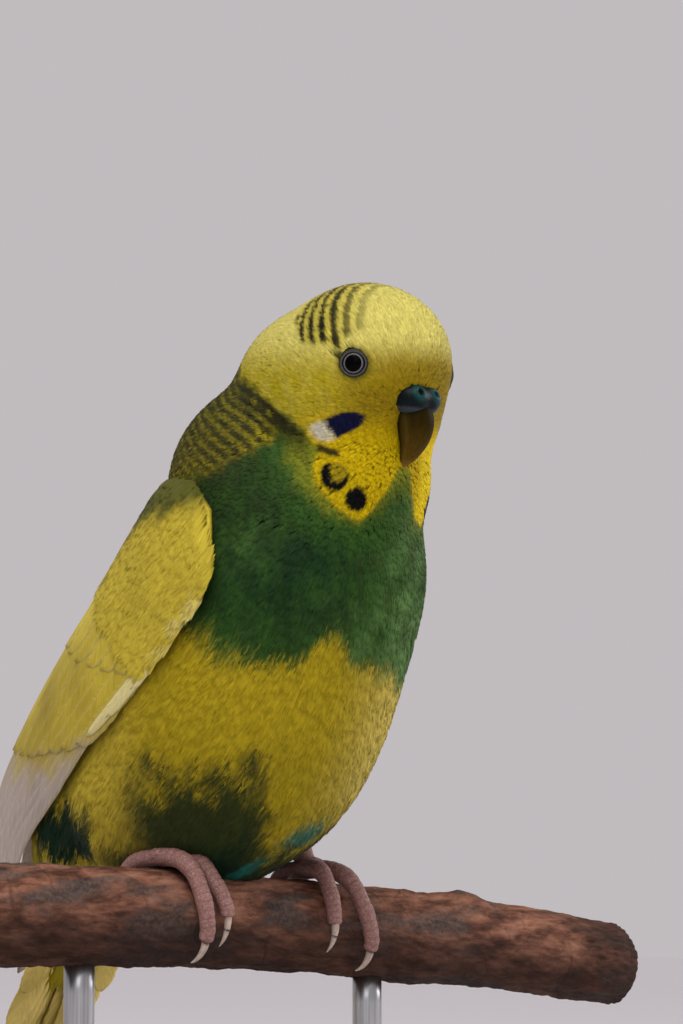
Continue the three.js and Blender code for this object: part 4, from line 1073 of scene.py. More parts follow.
# Tiers of long wing feathers: half width, height over the core at root and tip, and each one's line
WING_TIERS = [
    ("primary", 2.7, (-1.05, -0.75), [((3.0, 84), (7.0, 79)), ((3.0, 80), (6.85, 75)), ((3.1, 76), (6.6, 70)),
     ((3.2, 71), (6.35, 65)), ((3.3, 66), (6.1, 59)), ((3.4, 60), (5.85, 53)), ((3.5, 53), (5.6, 46)), ((3.7, 45), (5.3, 38))]),
    ("secondary", 3.0, (-0.85, -0.55), [((1.5, 87), (3.3, 83)), ((1.5, 81), (3.55, 78)), ((1.55, 75), (3.75, 73)),
     ((1.6, 69), (3.95, 68)), ((1.7, 62), (4.15, 62)), ((1.75, 54), (4.3, 55)), ((1.85, 46), (4.45, 46)),
     ((1.95, 36), (4.55, 36)), ((2.0, 25), (4.55, 25)), ((2.05, 13), (4.45, 13))]),
    ("lead", 1.2, (-0.6, -0.4), [((1.35, 90.5), (3.1, 85.5)), ((1.2, 91), (2.7, 88)), ((0.95, 91), (2.2, 90))]),
    ("greater", 2.7, (-0.72, -0.42), [((0.95, 88), (2.1, 86)), ((1.0, 81), (2.25, 80)), ((1.1, 74), (2.4, 74)),
     ((1.15, 67), (2.55, 67)), ((1.25, 59), (2.7, 59)), ((1.35, 50), (2.8, 50)), ((1.5, 40), (2.9, 40)),
     ((1.65, 30), (2.95, 30)), ((1.8, 19), (2.95, 19)), ((1.9, 8), (2.9, 8))]),
    ("median", 2.5, (-0.70, -0.38), [((0.5, 84), (1.3, 87)), ((0.55, 77), (1.4, 79)), ((0.6, 69), (1.5, 71)),
     ((0.7, 61), (1.6, 62)), ((0.8, 52), (1.75, 53)), ((0.95, 42), (1.9, 43)), ((1.1, 31), (2.0, 31)), ((1.35, 20), (2.1, 20))]),
]


def wing_line(start, end, rows, height):
    t = np.linspace(0, 1, rows)
    u = start[0] + (end[0] - start[0]) * t
    degrees = np.maximum(start[1] + (end[1] - start[1]) * t, 0.5)
    out = wing_out(u, degrees)
    lift = height[0] + (height[1] - height[0]) * t
    line = wing_surface(u, degrees) + out * lift[:, None]
    along = unit(np.gradient(line, axis=0))
    side = unit(np.cross(out, along))
    return line, side, unit(np.cross(along, side)), u, degrees


def build_wing(side, sign, draw):
    wing_core(side, sign)
    rings, vanes, colours = [], [], []
    for name, half, height, lines in WING_TIERS:
        for start, end in lines:
            rows = 26 if name in ("primary", "secondary") else 18
            line, across, out, u, degrees = wing_line(start, end, rows, height)
            ring, vane = long_vane(line, across, out, half, feather_outline(0.16 if name == "primary" else 0.24), 0.22, draw)
            ring = draped(ring, line, u, degrees, height, vane)
            # Painted shade: each long feather a little darker toward its root, with random tone per feather
            shade = draw.uniform(0.97, 1.03) * (0.95 + 0.05 * vane[..., 1:2])
            colour = wing_colour(ring, vane[..., 1], vane[..., 0]) * shade
            if name == "primary":
                colour = paint(colour, WING_WHITE, smooth(0.25, 0.6, vane[..., 1]) * 0.6)
            if name == "lead":
                colour = paint(colour, WING_PALE, np.full(colour.shape[:-1], 0.9))
            rings.append(to_side(ring, sign))
            vanes.append(vane)
            colours.append(colour)
    joined(rings, vanes, colours, f"wing_feathers_{side}", "wing_feathers", VANE)
    small_coverts(side, sign, draw)


def draped(ring, line, u, degrees, height, vane):
    """Bends a feather across the wing's round so that its edges follow the surface."""
    k = vane[..., 0]
    t = vane[..., 1]
    measure = per_degree(u, degrees)[:, None]
    off = (ring - line[:, None])
    out = wing_out(u, degrees)
    rise = (off * out[:, None]).sum(-1)
    flat = off - out[:, None] * rise[..., None]
    round_ = unit(wing_surface(u, degrees + 0.5) - wing_surface(u, degrees - 0.5))
    sideways = (flat * round_[:, None]).sum(-1)
    lengthways = flat - round_[:, None] * sideways[..., None]
    new_degrees = np.maximum(degrees[:, None] + sideways / measure, 0.3)
    station = np.broadcast_to(u[:, None], new_degrees.shape)
    lift = height[0] + (height[1] - height[0]) * t
    tilt = 0.20 * np.clip(sideways / 3.0, -1, 1)
    place = wing_surface(station, new_degrees) + wing_out(station, new_degrees) * (rise + lift + tilt)[..., None]
    return place + lengthways * 0.6


def small_coverts(side, sign, draw):
    """Small soft feathers over the shoulder of the wing and round its front edge."""
    count = 11000
    u = draw.uniform(0.0, 1.8, count)
    top, low = table(WING_TOP, u), table(WING_LOW, u)
    most = np.interp(u, [0, 0.5, 0.9, 1.8], [1.09, 1.05, 0.985, 0.95])
    degrees = top + (low - top) * (-0.02 + (most + 0.02) * draw.uniform(0, 1, count))
    points = wing_surface(u, degrees)
    room = np.interp(u, [0, 0.6, 1.7], [0.55, 0.70, 0.95])
    kept = thinned(points, room, draw)
    u, degrees = u[kept], degrees[kept]
    n = len(u)
    length = np.interp(u, [0, 1.8], [4.2, 6.2]) * draw.uniform(0.85, 1.15, n)
    step = 1.0 / np.linalg.norm(wing_surface(u + 0.5, degrees) - wing_surface(u - 0.5, degrees), axis=-1)
    line, sides, outs = (np.zeros((n, LEVELS, 3)) for _ in range(3))
    drift = draw.normal(0, 1.5, n)
    for k in range(LEVELS):
        t = k / (LEVELS - 1)
        here = u + step * length * t
        turn = np.minimum(degrees + drift * t, table(WING_LOW, here) + np.interp(here, [0, 0.5, 1.0], [9, 5, -1.5]))
        turn = np.maximum(turn, 0.5)
        out = wing_out(here, turn)
        along = unit(wing_surface(here + 0.05, turn) - wing_surface(here - 0.05, turn))
        line[:, k] = wing_surface(here, turn) - out * 1.0
        sides[:, k] = unit(np.cross(out, along))
        outs[:, k] = out
    base = np.interp(u, [0, 1.8], [1.0, 0.95]) * draw.uniform(0.93, 1.05, n)
    height = base[:, None] * np.array([0.62, 0.90, 1.0])[None]
    wide = (np.interp(u, [0, 1.8], [1.0, 1.5]) * draw.uniform(0.85, 1.1, n))[:, None] * np.array([0.8, 1.0, 1.0])[None]
    points, faces, vane, strand = tuft_mesh(line, sides, outs, wide, height, np.full(n, 0.07), 8, draw)
    colour = wing_colour(points, vane[..., 1], vane[..., 0] * 0.5)
    rim = smooth(0.945, 0.98, (degrees - table(WING_TOP, u)) / (table(WING_LOW, u) - table(WING_TOP, u))) * smooth(0.6, 1.0, u)
    colour = paint(colour, WING_PALE, rim[:, None] * 0.55)
    # Painted shade: each covert darker toward its root, with random tone per covert and per barb
    bright = 1 + np.clip(draw.normal(0, 0.045, (n, 8))[:, strand], -0.15, 0.3)
    shade = draw.uniform(0.97, 1.03, n)[:, None] * (0.95 + 0.06 * vane[..., 1]) * bright
    unwrap = np.stack([u / 7, degrees / 110], 1)
    local = np.stack([vane[..., 0], vane[..., 1] - 0.5], -1) * 0.0015
    if sign > 0:
        faces = faces[:, ::-1]
    normals = to_side(soft_normals(outs, sides, vane, strand, 8, draw, round_=0.12, loose=0.06), sign)
    add_tufts(f"wing_coverts_{side}", to_side(points, sign), faces, vane, colour * shade[..., None],
              unwrap[:, None] + local, "wing_feathers", normals)


# Tail
TAIL_DOWN = np.array([0, math.cos(math.radians(TAIL_SLOPE)), -math.sin(math.radians(TAIL_SLOPE))])
TAIL_BACK = np.array([0, math.sin(math.radians(TAIL_SLOPE)), math.cos(math.radians(TAIL_SLOPE))])
# Tail feathers of one side from the middle out: length, half width, place at root and tip, depth under the first
TAIL_VANES = [
    (95, 3.3, 0.5, 1.3, 0.0), (78, 3.2, 1.2, 3.4, 0.4), (66, 3.1, 1.9, 5.2, 0.8),
    (56, 3.0, 2.6, 6.8, 1.2), (48, 2.9, 3.3, 8.2, 1.6), (40, 2.7, 4.0, 9.3, 2.0),
]
# Tail yellow made brighter as painted light, lifting the shade on the tail
TAIL_YELLOW_LIT = (0.80, 0.60, 0.17)


def tail_point(along, across, out):
    side = np.zeros(np.broadcast(along, across, out).shape + (3,))
    side[..., 0] = across
    along, out = np.broadcast_arrays(along, out)
    return TAIL_START + TAIL_DOWN * along[..., None] + TAIL_BACK * out[..., None] + side


def build_tail(draw):
    rings, vanes, colours = [], [], []
    for length, half, root, tip, under in TAIL_VANES:
        for sign in (1, -1):
            t = np.linspace(0, 1, 40)
            along = 14 + (length - 14.5) * t
            middle = sign * (root + (tip - root) * t)
            depth = -under - (0 if sign > 0 or under > 0 else 0.18)
            line = tail_point(along, middle, np.full(40, depth) - 0.012 * middle**2)
            way = unit(np.gradient(line, axis=0))
            out = np.broadcast_to(TAIL_BACK, way.shape)
            side = unit(np.cross(out, way))
            ring, vane = long_vane(line, side, unit(np.cross(way, side)), half, feather_outline(0.20), 0.24, draw, curl=0.06)
            colour = np.broadcast_to(np.array(TAIL_YELLOW_LIT), ring.shape).copy()
            colour = paint(colour, WING_SHADE, 0.25 + 0.2 * ripple(ring, 12, 21))
            colour = paint(colour, BODY_YELLOW, smooth(0.5, 0.1, vane[..., 1]) * 0.5)
            rings.append(ring)
            vanes.append(vane)
            colours.append(colour * draw.uniform(0.93, 1.07))
    piece = joined(rings, vanes, colours, "tail_feathers", "tail_feathers", VANE)
    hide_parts("tail")
    tail_coverts(draw)


def tail_coverts(draw):
    """Soft feathers that run from rump and vent over the roots of the tail."""
    t = draw.uniform(0, 1, 2000)
    turn = draw.uniform(0, 2 * math.pi, 2000)
    n = len(t)
    reach = 2 + 26 * t
    half_w = np.interp(reach, [0, 28], [7.5, 4.6])
    half_h = np.interp(reach, [0, 28], [6.0, 1.6])
    length = 9 + 5 * draw.uniform(size=n)
    line = np.zeros((n, LEVELS, 3))
    sides = np.zeros((n, LEVELS, 3))
    outs = np.zeros((n, LEVELS, 3))
    for k in range(LEVELS):
        along = reach + length * k / (LEVELS - 1)
        w = np.interp(along, [0, 28, 42], [7.5, 4.6, 4.0])
        h = np.interp(along, [0, 28, 42], [5.6, 1.6, 0.5])
        across, out = w * np.sin(turn), h * np.cos(turn) - 0.6
        line[:, k] = tail_point(along, across, out)
        o = unit(np.stack([np.sin(turn) / w, np.cos(turn) / h], -1))
        outs[:, k] = o[:, :1] * np.array([1.0, 0, 0]) + o[:, 1:] * TAIL_BACK
        sides[:, k] = unit(np.cross(outs[:, k], TAIL_DOWN))
    height = np.full((n, 3), 0.35) * draw.uniform(0.6, 1.2, (n, 1))
    wide = draw.uniform(1.2, 1.7, n)[:, None] * np.array([0.8, 1.0, 0.95])[None]
    points, faces, vane, strand = tuft_mesh(line, sides, outs, wide, height, np.full(n, 0.07), 8, draw)
    colour = np.broadcast_to(np.array(BODY_YELLOW), points.shape).copy()
    colour = paint(colour, LIME, 0.08 + 0.1 * ripple(points, 7, 31))
    colour = colour * draw.uniform(0.88, 1.1, n)[:, None, None]
    bake = np.stack([turn / (2 * math.pi), 0.04 * t], 1)[:, None] + np.stack([vane[..., 0], vane[..., 1] - 0.5], -1) * 0.0015
    normals = soft_normals(outs, sides, vane, strand, 8, draw)
    add_tufts("coat_tail_root", points, faces, vane, colour, bake, "tail_feathers", normals)


# Eyes with iris ring and lids
def eye_material():
    s = Shader("eye_ball", Roughness=0.12, Specular_IOR_Level=0.02)
    out = s.node("ShaderNodeSeparateXYZ", {"Vector": s.attribute("vane", "Vector")}).outputs[0]
    grain = s.noise(s.object_place(), 5200, 2)
    colour = s.ramp(out, [(0.0, (0.0012, 0.0012, 0.0016)), (0.415, (0.0012, 0.0012, 0.0016)), (0.44, (0.10, 0.096, 0.09)),
                          (0.47, (0.14, 0.135, 0.128)), (0.50, (0.05, 0.047, 0.044)), (0.53, (0.004, 0.004, 0.004)),
                          (1.0, (0.006, 0.006, 0.006))])
    speckle = s.ramp(grain, [(0.35, (0.65, 0.65, 0.65)), (0.65, (1, 1, 1))])
    s.link(s.mix(colour, speckle, 1.0, "MULTIPLY"), "Base Color")
    return s.material


def lid_material():
    s = Shader("lid_skin", Roughness=0.6, Specular_IOR_Level=0.2)
    grain = s.noise(s.object_place(), 3400, 3)
    mark = s.node("ShaderNodeSeparateXYZ", {"Vector": s.attribute("vane", "Vector")}).outputs[0]
    edge = s.ramp(mark, [(0.0, (0.004, 0.004, 0.005)), (0.25, (0.024, 0.024, 0.024)), (0.45, (0.066, 0.064, 0.061)),
                         (0.62, (0.055, 0.054, 0.050)), (0.8, (0.018, 0.018, 0.015)), (1.0, (0.03, 0.024, 0.006))])
    grit = s.ramp(grain, [(0.3, (0.55, 0.55, 0.55)), (0.7, (1, 1, 1))])
    s.link(s.mix(edge, grit, 1.0, "MULTIPLY"), "Base Color")
    s.bump(grain, 0.5, 0.12)
    return s.material


def dome(centre, way, radius, rows, columns, most):
    """Rings of a ball's cap round a way out, from its pole to an angle."""
    way = unit(way)
    first = unit(np.cross(way, HEAD_UP))
    second = np.cross(first, way)
    angle = np.linspace(0.02, most, rows)
    turn = np.arange(columns) * 2 * math.pi / columns
    spread = first * np.cos(turn)[:, None] + second * np.sin(turn)[:, None]
    ways = way * np.cos(angle)[:, None, None] + spread[None] * np.sin(angle)[:, None, None]
    return centre + ways * radius, angle


def build_eyes():
    ball, lids = eye_material(), lid_material()
    for side in EYES:
        rings, angle = dome(EYES[side], EYE_WAYS[side], EYE_RADIUS, 48, 64, math.pi - 0.02)
        vane = np.zeros(rings.shape)
        vane[..., 0] = (EYE_RADIUS * np.sin(np.minimum(angle, math.pi / 2)) / EYE_RADIUS)[:, None]
        vane = np.concatenate([vane.reshape(-1, 3), np.zeros((1, 3)), np.full((1, 3), 1.0)])
        piece = tube_piece(f"eyeball_{side}", rings, ball, "eyes", vane=vane)
        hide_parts(f"eye_{side}")
        build_lid(side, lids)


def build_lid(side, material):
    """Two rings of fine beads round the eye, drawn to a corner behind and before it."""
    way = EYE_WAYS[side]
    first = unit(np.cross(way, HEAD_UP))
    second = np.cross(first, way)
    columns = 96
    turn = np.arange(columns) * 2 * math.pi / columns
    section = [(1.70, -0.42, 0), (1.78, 0.0, 0.15), (1.88, 0.08, 0.4), (1.98, 0.03, 0.5), (2.06, 0.08, 0.65),
               (2.14, 0.03, 0.8), (2.24, -0.14, 1.0), (2.50, -0.75, 1.0)]
    rows, marks = [], []
    for r, lift, mark in section:
        beads = 1 + 0.018 * np.cos(turn * 26 + mark * 9) * (mark > 0.1)
        corner = 1 + 0.05 * np.abs(np.cos(turn)) ** 6
        reach = r * beads * corner
        base = EYES[side] + way * (math.sqrt(EYE_RADIUS**2 - 1.8**2) + lift)
        rows.append(base + (first * np.cos(turn)[:, None] + second * np.sin(turn)[:, None]) * reach[:, None])
        marks.append(np.full(columns, mark))
    inner = rows[0] - way * 0.6
    outer = rows[-1] - way * 0.6
    rings = np.stack([inner] + rows + [outer])
    marks = np.stack([marks[0]] + marks + [marks[-1]])
    points = rings.reshape(-1, 3)
    count = len(rings)
    quads = grid_faces(count + 1, columns) % (count * columns)
    vane = np.zeros((len(points), 3))
    vane[:, 0] = marks.ravel()
    a, b, c = (points[quads[:, k]] for k in (0, 1, 2))
    face_out = np.cross(b - a, c - a)[: (count - 1) * columns]
    if (face_out @ way).sum() < 0:
        quads = quads[:, ::-1]
    new_piece(f"lid_{side}", points, quads, material, "eyes", vane=vane)


# Cere and bill
def cere_material():
    s = Shader("cere_skin", Roughness=0.40, Specular_IOR_Level=0.07)
    place = s.object_place()
    broad = s.noise(place, 260, 3)
    fine = s.noise(place, 2600, 4)
    parts = s.node("ShaderNodeSeparateXYZ", {"Vector": s.attribute("vane", "Vector")}).outputs
    colour = s.ramp(broad, [(0.3, (0.001, 0.003, 0.004)), (0.55, (0.002, 0.006, 0.007)), (0.8, (0.005, 0.014, 0.016))])
    colour = s.mix(colour, (0.007, 0.050, 0.045), parts[2])
    # Painted highlight: pale blue over the far lobe and along the lower rim
    colour = s.mix(colour, (0.20, 0.23, 0.27), parts[0])
    # Painted shade inside the nostrils
    colour = s.mix(colour, (0.001, 0.002, 0.003), parts[1])
    grit = s.ramp(fine, [(0.3, (0.7, 0.7, 0.7)), (0.7, (1.1, 1.1, 1.1))])
    s.link(s.mix(colour, grit, 1.0, "MULTIPLY"), "Base Color")
    s.bump(fine, 0.35, 0.08)
    return s.material


# The cere's two lobes and its nostrils, from the skull's middle forward, left and up
CERE_LOBES = [((11.6, -1.75, -5.2), (3.0, 2.7, 2.5)), ((11.3, 1.75, -5.2), (2.9, 2.55, 2.45))]
CERE_MIDDLE = np.array([11.6, 0, -5.2])
NOSTRILS = [(14.4, -1.95, -3.75), (14.2, 2.0, -3.75)]
NOSTRIL_RADIUS = 0.5


def cere_field(q):
    d = np.stack([(np.linalg.norm((q - c) / r, axis=-1) - 1) * min(r) for c, r in CERE_LOBES])
    return -0.7 * np.log(np.exp(-d / 0.7).sum(0))


def build_cere():
    rows, columns = 90, 110
    angle = np.linspace(0.01, math.pi - 0.01, rows)[:, None]
    turn = (np.arange(columns) * 2 * math.pi / columns)[None]
    ways = np.stack([np.cos(angle) + 0 * turn, np.sin(angle) * np.cos(turn), np.sin(angle) * np.sin(turn)], -1)
    near, far = np.zeros(ways.shape[:-1]), np.full(ways.shape[:-1], 8.0)
    for _ in range(26):
        middle = (near + far) / 2
        inside = cere_field(CERE_MIDDLE + ways * middle[..., None]) < 0
        near, far = np.where(inside, middle, near), np.where(inside, far, middle)
    local = CERE_MIDDLE + ways * near[..., None]
    gap = np.min([np.linalg.norm((local - n) * [1, 1, 0.8], axis=-1) for n in NOSTRILS], 0)
    rim = 0.16 * np.exp(-(((gap - 0.85) / 0.25) ** 2)) - 0.8 * np.exp(-((gap / NOSTRIL_RADIUS) ** 2))
    # Pale rim along the lower edge, carrying a painted highlight
    edge = smooth(-6.3, -6.9, local[..., 2]) * smooth(9.5, 11.5, local[..., 0]) * 0.17
    local = local + ways * (rim + 0.25 * edge)[..., None]
    # Painted shade inside the nostrils
    nostril_shade = smooth(0.75, 0.45, gap)
    # Painted highlight on the far lobe
    far_lobe_highlight = smooth(1.2, 3.6, local[..., 1]) * 0.16
    teal = np.exp(-(((gap - 1.0) / 0.5) ** 2)) * 0.9
    vane = np.stack([np.maximum(edge, far_lobe_highlight), nostril_shade, teal], -1)
    ends = np.concatenate([vane.reshape(-1, 3), vane[0].mean(0)[None], vane[-1].mean(0)[None]])
    piece = tube_piece("cere_form", SKULL_MIDDLE + local @ HEAD_AXES, cere_material(), "cere", vane=ends)
    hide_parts("cere")


UPPER_BILL = np.array([
    [13.3, -5.2, 8.0, -6.4, 2.6], [14.6, -7.6, 8.4, -9.0, 2.85], [14.8, -9.8, 9.0, -11.0, 2.7], [14.1, -12.2, 9.4, -12.8, 2.15],
    [12.5, -14.4, 9.3, -14.4, 1.4], [10.8, -15.8, 8.9, -15.6, 0.75], [9.3, -16.7, 8.6, -16.4, 0.25],
])
LOWER_BILL = np.array([
    [8.4, -8.6, 3.8, -8.8, 2.4], [8.7, -10.8, 4.6, -11.0, 2.2], [8.6, -12.6, 5.8, -12.9, 1.7], [8.1, -14.0, 6.9, -14.1, 1.0],
])


def bill_material():
    s = Shader("bill_horn", Roughness=0.50, Specular_IOR_Level=0.025)
    parts = s.node("ShaderNodeSeparateXYZ", {"Vector": s.attribute("vane", "Vector")}).outputs
    grain = s.noise(s.mapped(s.object_place(), (2600, 2600, 320)), 1.0, 4)
    # Dark toward the root, partly painted shade, through brown horn to a pale tip
    colour = s.ramp(parts[1], [(0.0, (0.006, 0.004, 0.0004)), (0.30, (0.022, 0.013, 0.0006)), (0.7, (0.080, 0.044, 0.004)),
                               (0.93, (0.20, 0.11, 0.025)), (1.0, (0.28, 0.17, 0.06))])
    colour = s.mix(colour, (0.16, 0.10, 0.02), s.math("MULTIPLY", parts[0], 0.5))
    # Painted shade on the bill's inner side, toward the face
    colour = s.mix(colour, (0.006, 0.004, 0.001), parts[2])
    grit = s.ramp(grain, [(0.3, (0.75, 0.75, 0.75)), (0.7, (1.15, 1.15, 1.15))])
    s.link(s.mix(colour, grit, 1.0, "MULTIPLY"), "Base Color")
    s.bump(grain, 0.25, 0.1)
    return s.material


def build_bill(name, sections, material, rows, columns=40):
    flat = curve(sections, np.linspace(0, len(sections) - 1, rows))
    angle = np.arange(columns) * 2 * math.pi / columns
    c, s = np.cos(angle), np.sin(angle)
    middle = (flat[:, 0:2] + flat[:, 2:4]) / 2
    reach = (flat[:, 0:2] - flat[:, 2:4]) / 2
    half = np.maximum(flat[:, 4], 0.12)
    local = np.zeros((rows, columns, 3))
    local[..., 0] = middle[:, :1] + reach[:, :1] * c
    local[..., 1] = half[:, None] * s
    local[..., 2] = middle[:, 1:] + reach[:, 1:] * c
    rings = SKULL_MIDDLE + local @ HEAD_AXES
    vane = np.zeros(rings.shape)
    vane[..., 0] = smooth(0.9, 1.0, np.abs(s))[None] * 0.35
    vane[..., 1] = np.linspace(0, 1, rows)[:, None]
    # Share of painted shade on the inner side of the bill, toward the face
    vane[..., 2] = smooth(0.3, -0.6, c)[None] * 0.7
    ends = np.concatenate([vane.reshape(-1, 3), vane[0, :1], vane[-1, :1]])
    piece = tube_piece(name.replace("bill", "horn"), rings, material, "bill", vane=ends)
    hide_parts(name)


# Perch in places along it and degrees round from its top, + toward the bird's front
_turn = math.radians(PERCH_TURN)
PERCH_ALONG = unit([math.cos(_turn), -math.sin(_turn), -PERCH_DROP])
PERCH_FRONT = unit(np.cross([0, 0, -1], PERCH_ALONG))
PERCH_UP = np.cross(PERCH_ALONG, -PERCH_FRONT)


def perch_radius(along, round_):
    along, round_ = np.broadcast_arrays(np.asarray(along, float), np.asarray(round_, float))
    radius = PERCH_RADIUS - PERCH_TAPER * along
    for at, turned, high, reach, spread in PERCH_KNOTS:
        turn = (round_ - turned + 180) % 360 - 180
        radius = radius + high * np.exp(-(((along - at) / reach) ** 2 + (turn / spread) ** 2))
    return radius


def perch_point(along, round_, off):
    along, round_, off = np.broadcast_arrays(np.asarray(along, float), np.asarray(round_, float), np.asarray(off, float))
    angle = np.radians(round_)[..., None]
    out = PERCH_UP * np.cos(angle) + PERCH_FRONT * np.sin(angle)
    middle = np.array([0, 0, PERCH_TOP - PERCH_RADIUS]) + PERCH_ALONG * along[..., None]
    middle = middle - np.array([0, 0, 1]) * (PERCH_SAG * along**2)[..., None]
    return middle + out * off[..., None]


def bark_material():
    s = Shader("bark", Roughness=0.85, Specular_IOR_Level=0.12)
    place = s.object_place()
    long_ = s.mapped(place, (120, 420, 420))
    broad = s.noise(s.mapped(place, (55, 160, 160)), 1.0, 4)
    ridges = s.noise(long_, 1.0, 6, 0.65)
    bits = s.noise(place, 1500, 5, 0.7)
    parts = s.node("ShaderNodeSeparateXYZ", {"Vector": s.attribute("vane", "Vector")}).outputs
    brown = s.ramp(ridges, [(0.28, (0.016, 0.008, 0.005)), (0.45, (0.105, 0.043, 0.026)), (0.6, (0.24, 0.104, 0.063)), (0.8, (0.32, 0.19, 0.14))])
    grey = s.ramp(bits, [(0.3, (0.024, 0.018, 0.016)), (0.7, (0.12, 0.092, 0.080))])
    bark = s.mix(brown, grey, s.span(broad, 0.0, 0.80, 0.50, 0.62))
    bark = s.mix(bark, (0.012, 0.009, 0.008), parts[1])
    # Painted shade on the underside, and darker toward the end on the bird's left
    bark = s.mix(bark, (0.014, 0.007, 0.005), parts[2])
    wood = s.ramp(s.noise(s.mapped(place, (500, 2200, 2200)), 1.0, 4), [(0.3, (0.016, 0.010, 0.008)), (0.7, (0.050, 0.034, 0.026))])
    s.link(s.mix(bark, wood, parts[0]), "Base Color")
    height = s.math("ADD", s.math("MULTIPLY", ridges, 0.7), s.math("MULTIPLY", bits, 0.5))
    s.bump(height, 0.7, 0.5)
    return s.material


def build_perch(material):
    rows, columns = 520, 180
    t = np.linspace(0, 1, rows)
    along = PERCH_ENDS[0] + END_INSET + (PERCH_ENDS[1] - PERCH_ENDS[0] - 2 * END_INSET) * t
    round_ = np.arange(columns) * 360 / columns
    a, r = np.meshgrid(along, round_, indexing="ij")
    radius = perch_radius(a, r)
    angle = np.radians(r)
    wrapped = np.stack([a, radius * np.cos(angle), radius * np.sin(angle)], -1)
    lumps = 0.28 * ripple(wrapped * [0.5, 1, 1], 6, 41)
    ridges = 0.16 * np.abs(ripple(wrapped * [0.35, 1.2, 1.2], 2.6, 42)) + 0.10 * ripple(wrapped * [0.6, 1.5, 1.5], 1.4, 43)
    crack_noise = np.abs(ripple(wrapped * [0.28, 1.1, 1.1], 4.2, 44, 9))
    cracks = smooth(0.10, 0.0, crack_noise)
    rings = np.abs(((a + 1.3 * ripple(wrapped, 9, 45)) / 7.5 % 1) - 0.5) * 2
    nodes = smooth(0.10, 0.0, rings) * smooth(0.1, 0.6, ripple(wrapped, 12, 46))
    skin = radius - 0.25 + lumps * 0.5 + ridges - 0.10 * cracks - 0.10 * nodes
    grip = np.zeros(a.shape)
    for side in FEET:
        for index in range(4):
            path, _ = toe_path(side, index, np.linspace(0, 1, 12))
            d = np.abs(a[..., None] - path[:, 0]) + np.abs((r[..., None] - path[:, 1] + 180) % 360 - 180) * 0.14
            grip = np.maximum(grip, smooth(3.2, 1.6, d.min(-1)))
    skin = np.where(grip > 0, np.minimum(skin, radius * 1.0 + (skin - radius) * (1 - grip)), skin)
    end = np.minimum(a - PERCH_ENDS[0], PERCH_ENDS[1] - a)
    skin = skin - 0.7 * smooth(1.0, 0.0, end)
    points = perch_point(a, r, skin)
    caps, cap_vane = [], []
    for last, shares in ((0, (0.0, 0.25, 0.5, 0.75, 0.93)), (rows - 1, (0.93, 0.75, 0.5, 0.25, 0.0))):
        rough = 0.12 * ripple(wrapped[last] * 1.0, 2.0, 47)
        for share in shares:
            ring = perch_point(np.full(columns, along[last]) , round_, skin[last] * max(share, 0.01))
            inward = PERCH_ALONG * (0.25 * (1 if last == 0 else -1)) * (0.4 + rough[:, None]) * (1 if share < 0.9 else 0.2)
            caps.append(ring + inward)
            cap_vane.append(1.0)
    rings = np.concatenate([np.stack(caps[:5]), points, np.stack(caps[5:])])
    vane = np.zeros(rings.shape)
    vane[:5, :, 0] = 1
    vane[-5:, :, 0] = 1
    vane[5:-5, :, 1] = np.clip(0.35 * cracks + 0.45 * nodes, 0, 1)
    # Painted shade under the branch, and darker toward its end on the bird's left
    underside_shade_and_dark_end = np.maximum(smooth(0.6, -0.6, np.cos(angle)) * 0.75, smooth(64, 82, a + 2 * ripple(wrapped, 5, 48)) * 0.72)
    vane[5:-5, :, 2] = underside_shade_and_dark_end
    ends = np.concatenate([vane.reshape(-1, 3), vane[0, :1], vane[-1, :1]])
    piece = tube_piece("branch", rings, material, "bark", vane=ends)
    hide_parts("perch")


# Feet and claws
FEET = {"left": (17, (13.5, 15.3, 23.6, 20.5)), "right": (-13.3, (-10.5, -7.4, -11.2, -17.5))}
TOES = [(-1.2, -84, 1.35, 1.05), (-1.5, 88, 1.6, 1.2), (1.3, 112, 1.65, 1.25), (1.4, -108, 1.5, 1.15)]
KNUCKLE_LIFT = 0.7
SIGN = {"left": 1, "right": -1}


def toe_path(side, index, t):
    """Places along and round the perch, and the height of the toe's middle over its axis."""
    ball, ends = FEET[side]
    start, sweep, thick, thin = TOES[index]
    begin = ball + SIGN[side] * start
    along = begin + (ends[index] - begin) * np.minimum(1, t * 1.1)
    round_ = sweep * t
    lift = KNUCKLE_LIFT * np.sin(math.pi * np.minimum(1, t * 1.6)) ** 2
    radius = thick + (thin - thick) * t
    return np.stack([along, round_, perch_radius(along, round_) + GAP + radius + lift], -1), radius


def foot_material():
    s = Shader("scaly_skin", Roughness=0.55, Specular_IOR_Level=0.25)
    place = s.object_place()
    cells = s.node("ShaderNodeTexVoronoi", {"Vector": place, "Scale": 1500}, feature="F1")
    edges = s.node("ShaderNodeTexVoronoi", {"Vector": place, "Scale": 1500}, feature="DISTANCE_TO_EDGE").outputs["Distance"]
    fine = s.noise(place, 3000, 4)
    skin = s.ramp(fine, [(0.3, (0.15, 0.066, 0.056)), (0.5, (0.25, 0.122, 0.105)), (0.75, (0.36, 0.205, 0.18))])
    skin = s.mix(skin, (0.16, 0.08, 0.065), s.span(edges, 0.7, 0.0, 0.0, 0.10))
    parts = s.node("ShaderNodeSeparateXYZ", {"Vector": s.attribute("vane", "Vector")}).outputs
    skin = s.mix(skin, (0.14, 0.07, 0.06), s.math("MULTIPLY", parts[0], 0.75))
    s.link(skin, "Base Color")
    height = s.math("ADD", s.span(edges, 0.0, 1.0, 0.0, 0.15), s.math("MULTIPLY", fine, 0.5))
    s.bump(height, 0.5, 0.12)
    return s.material


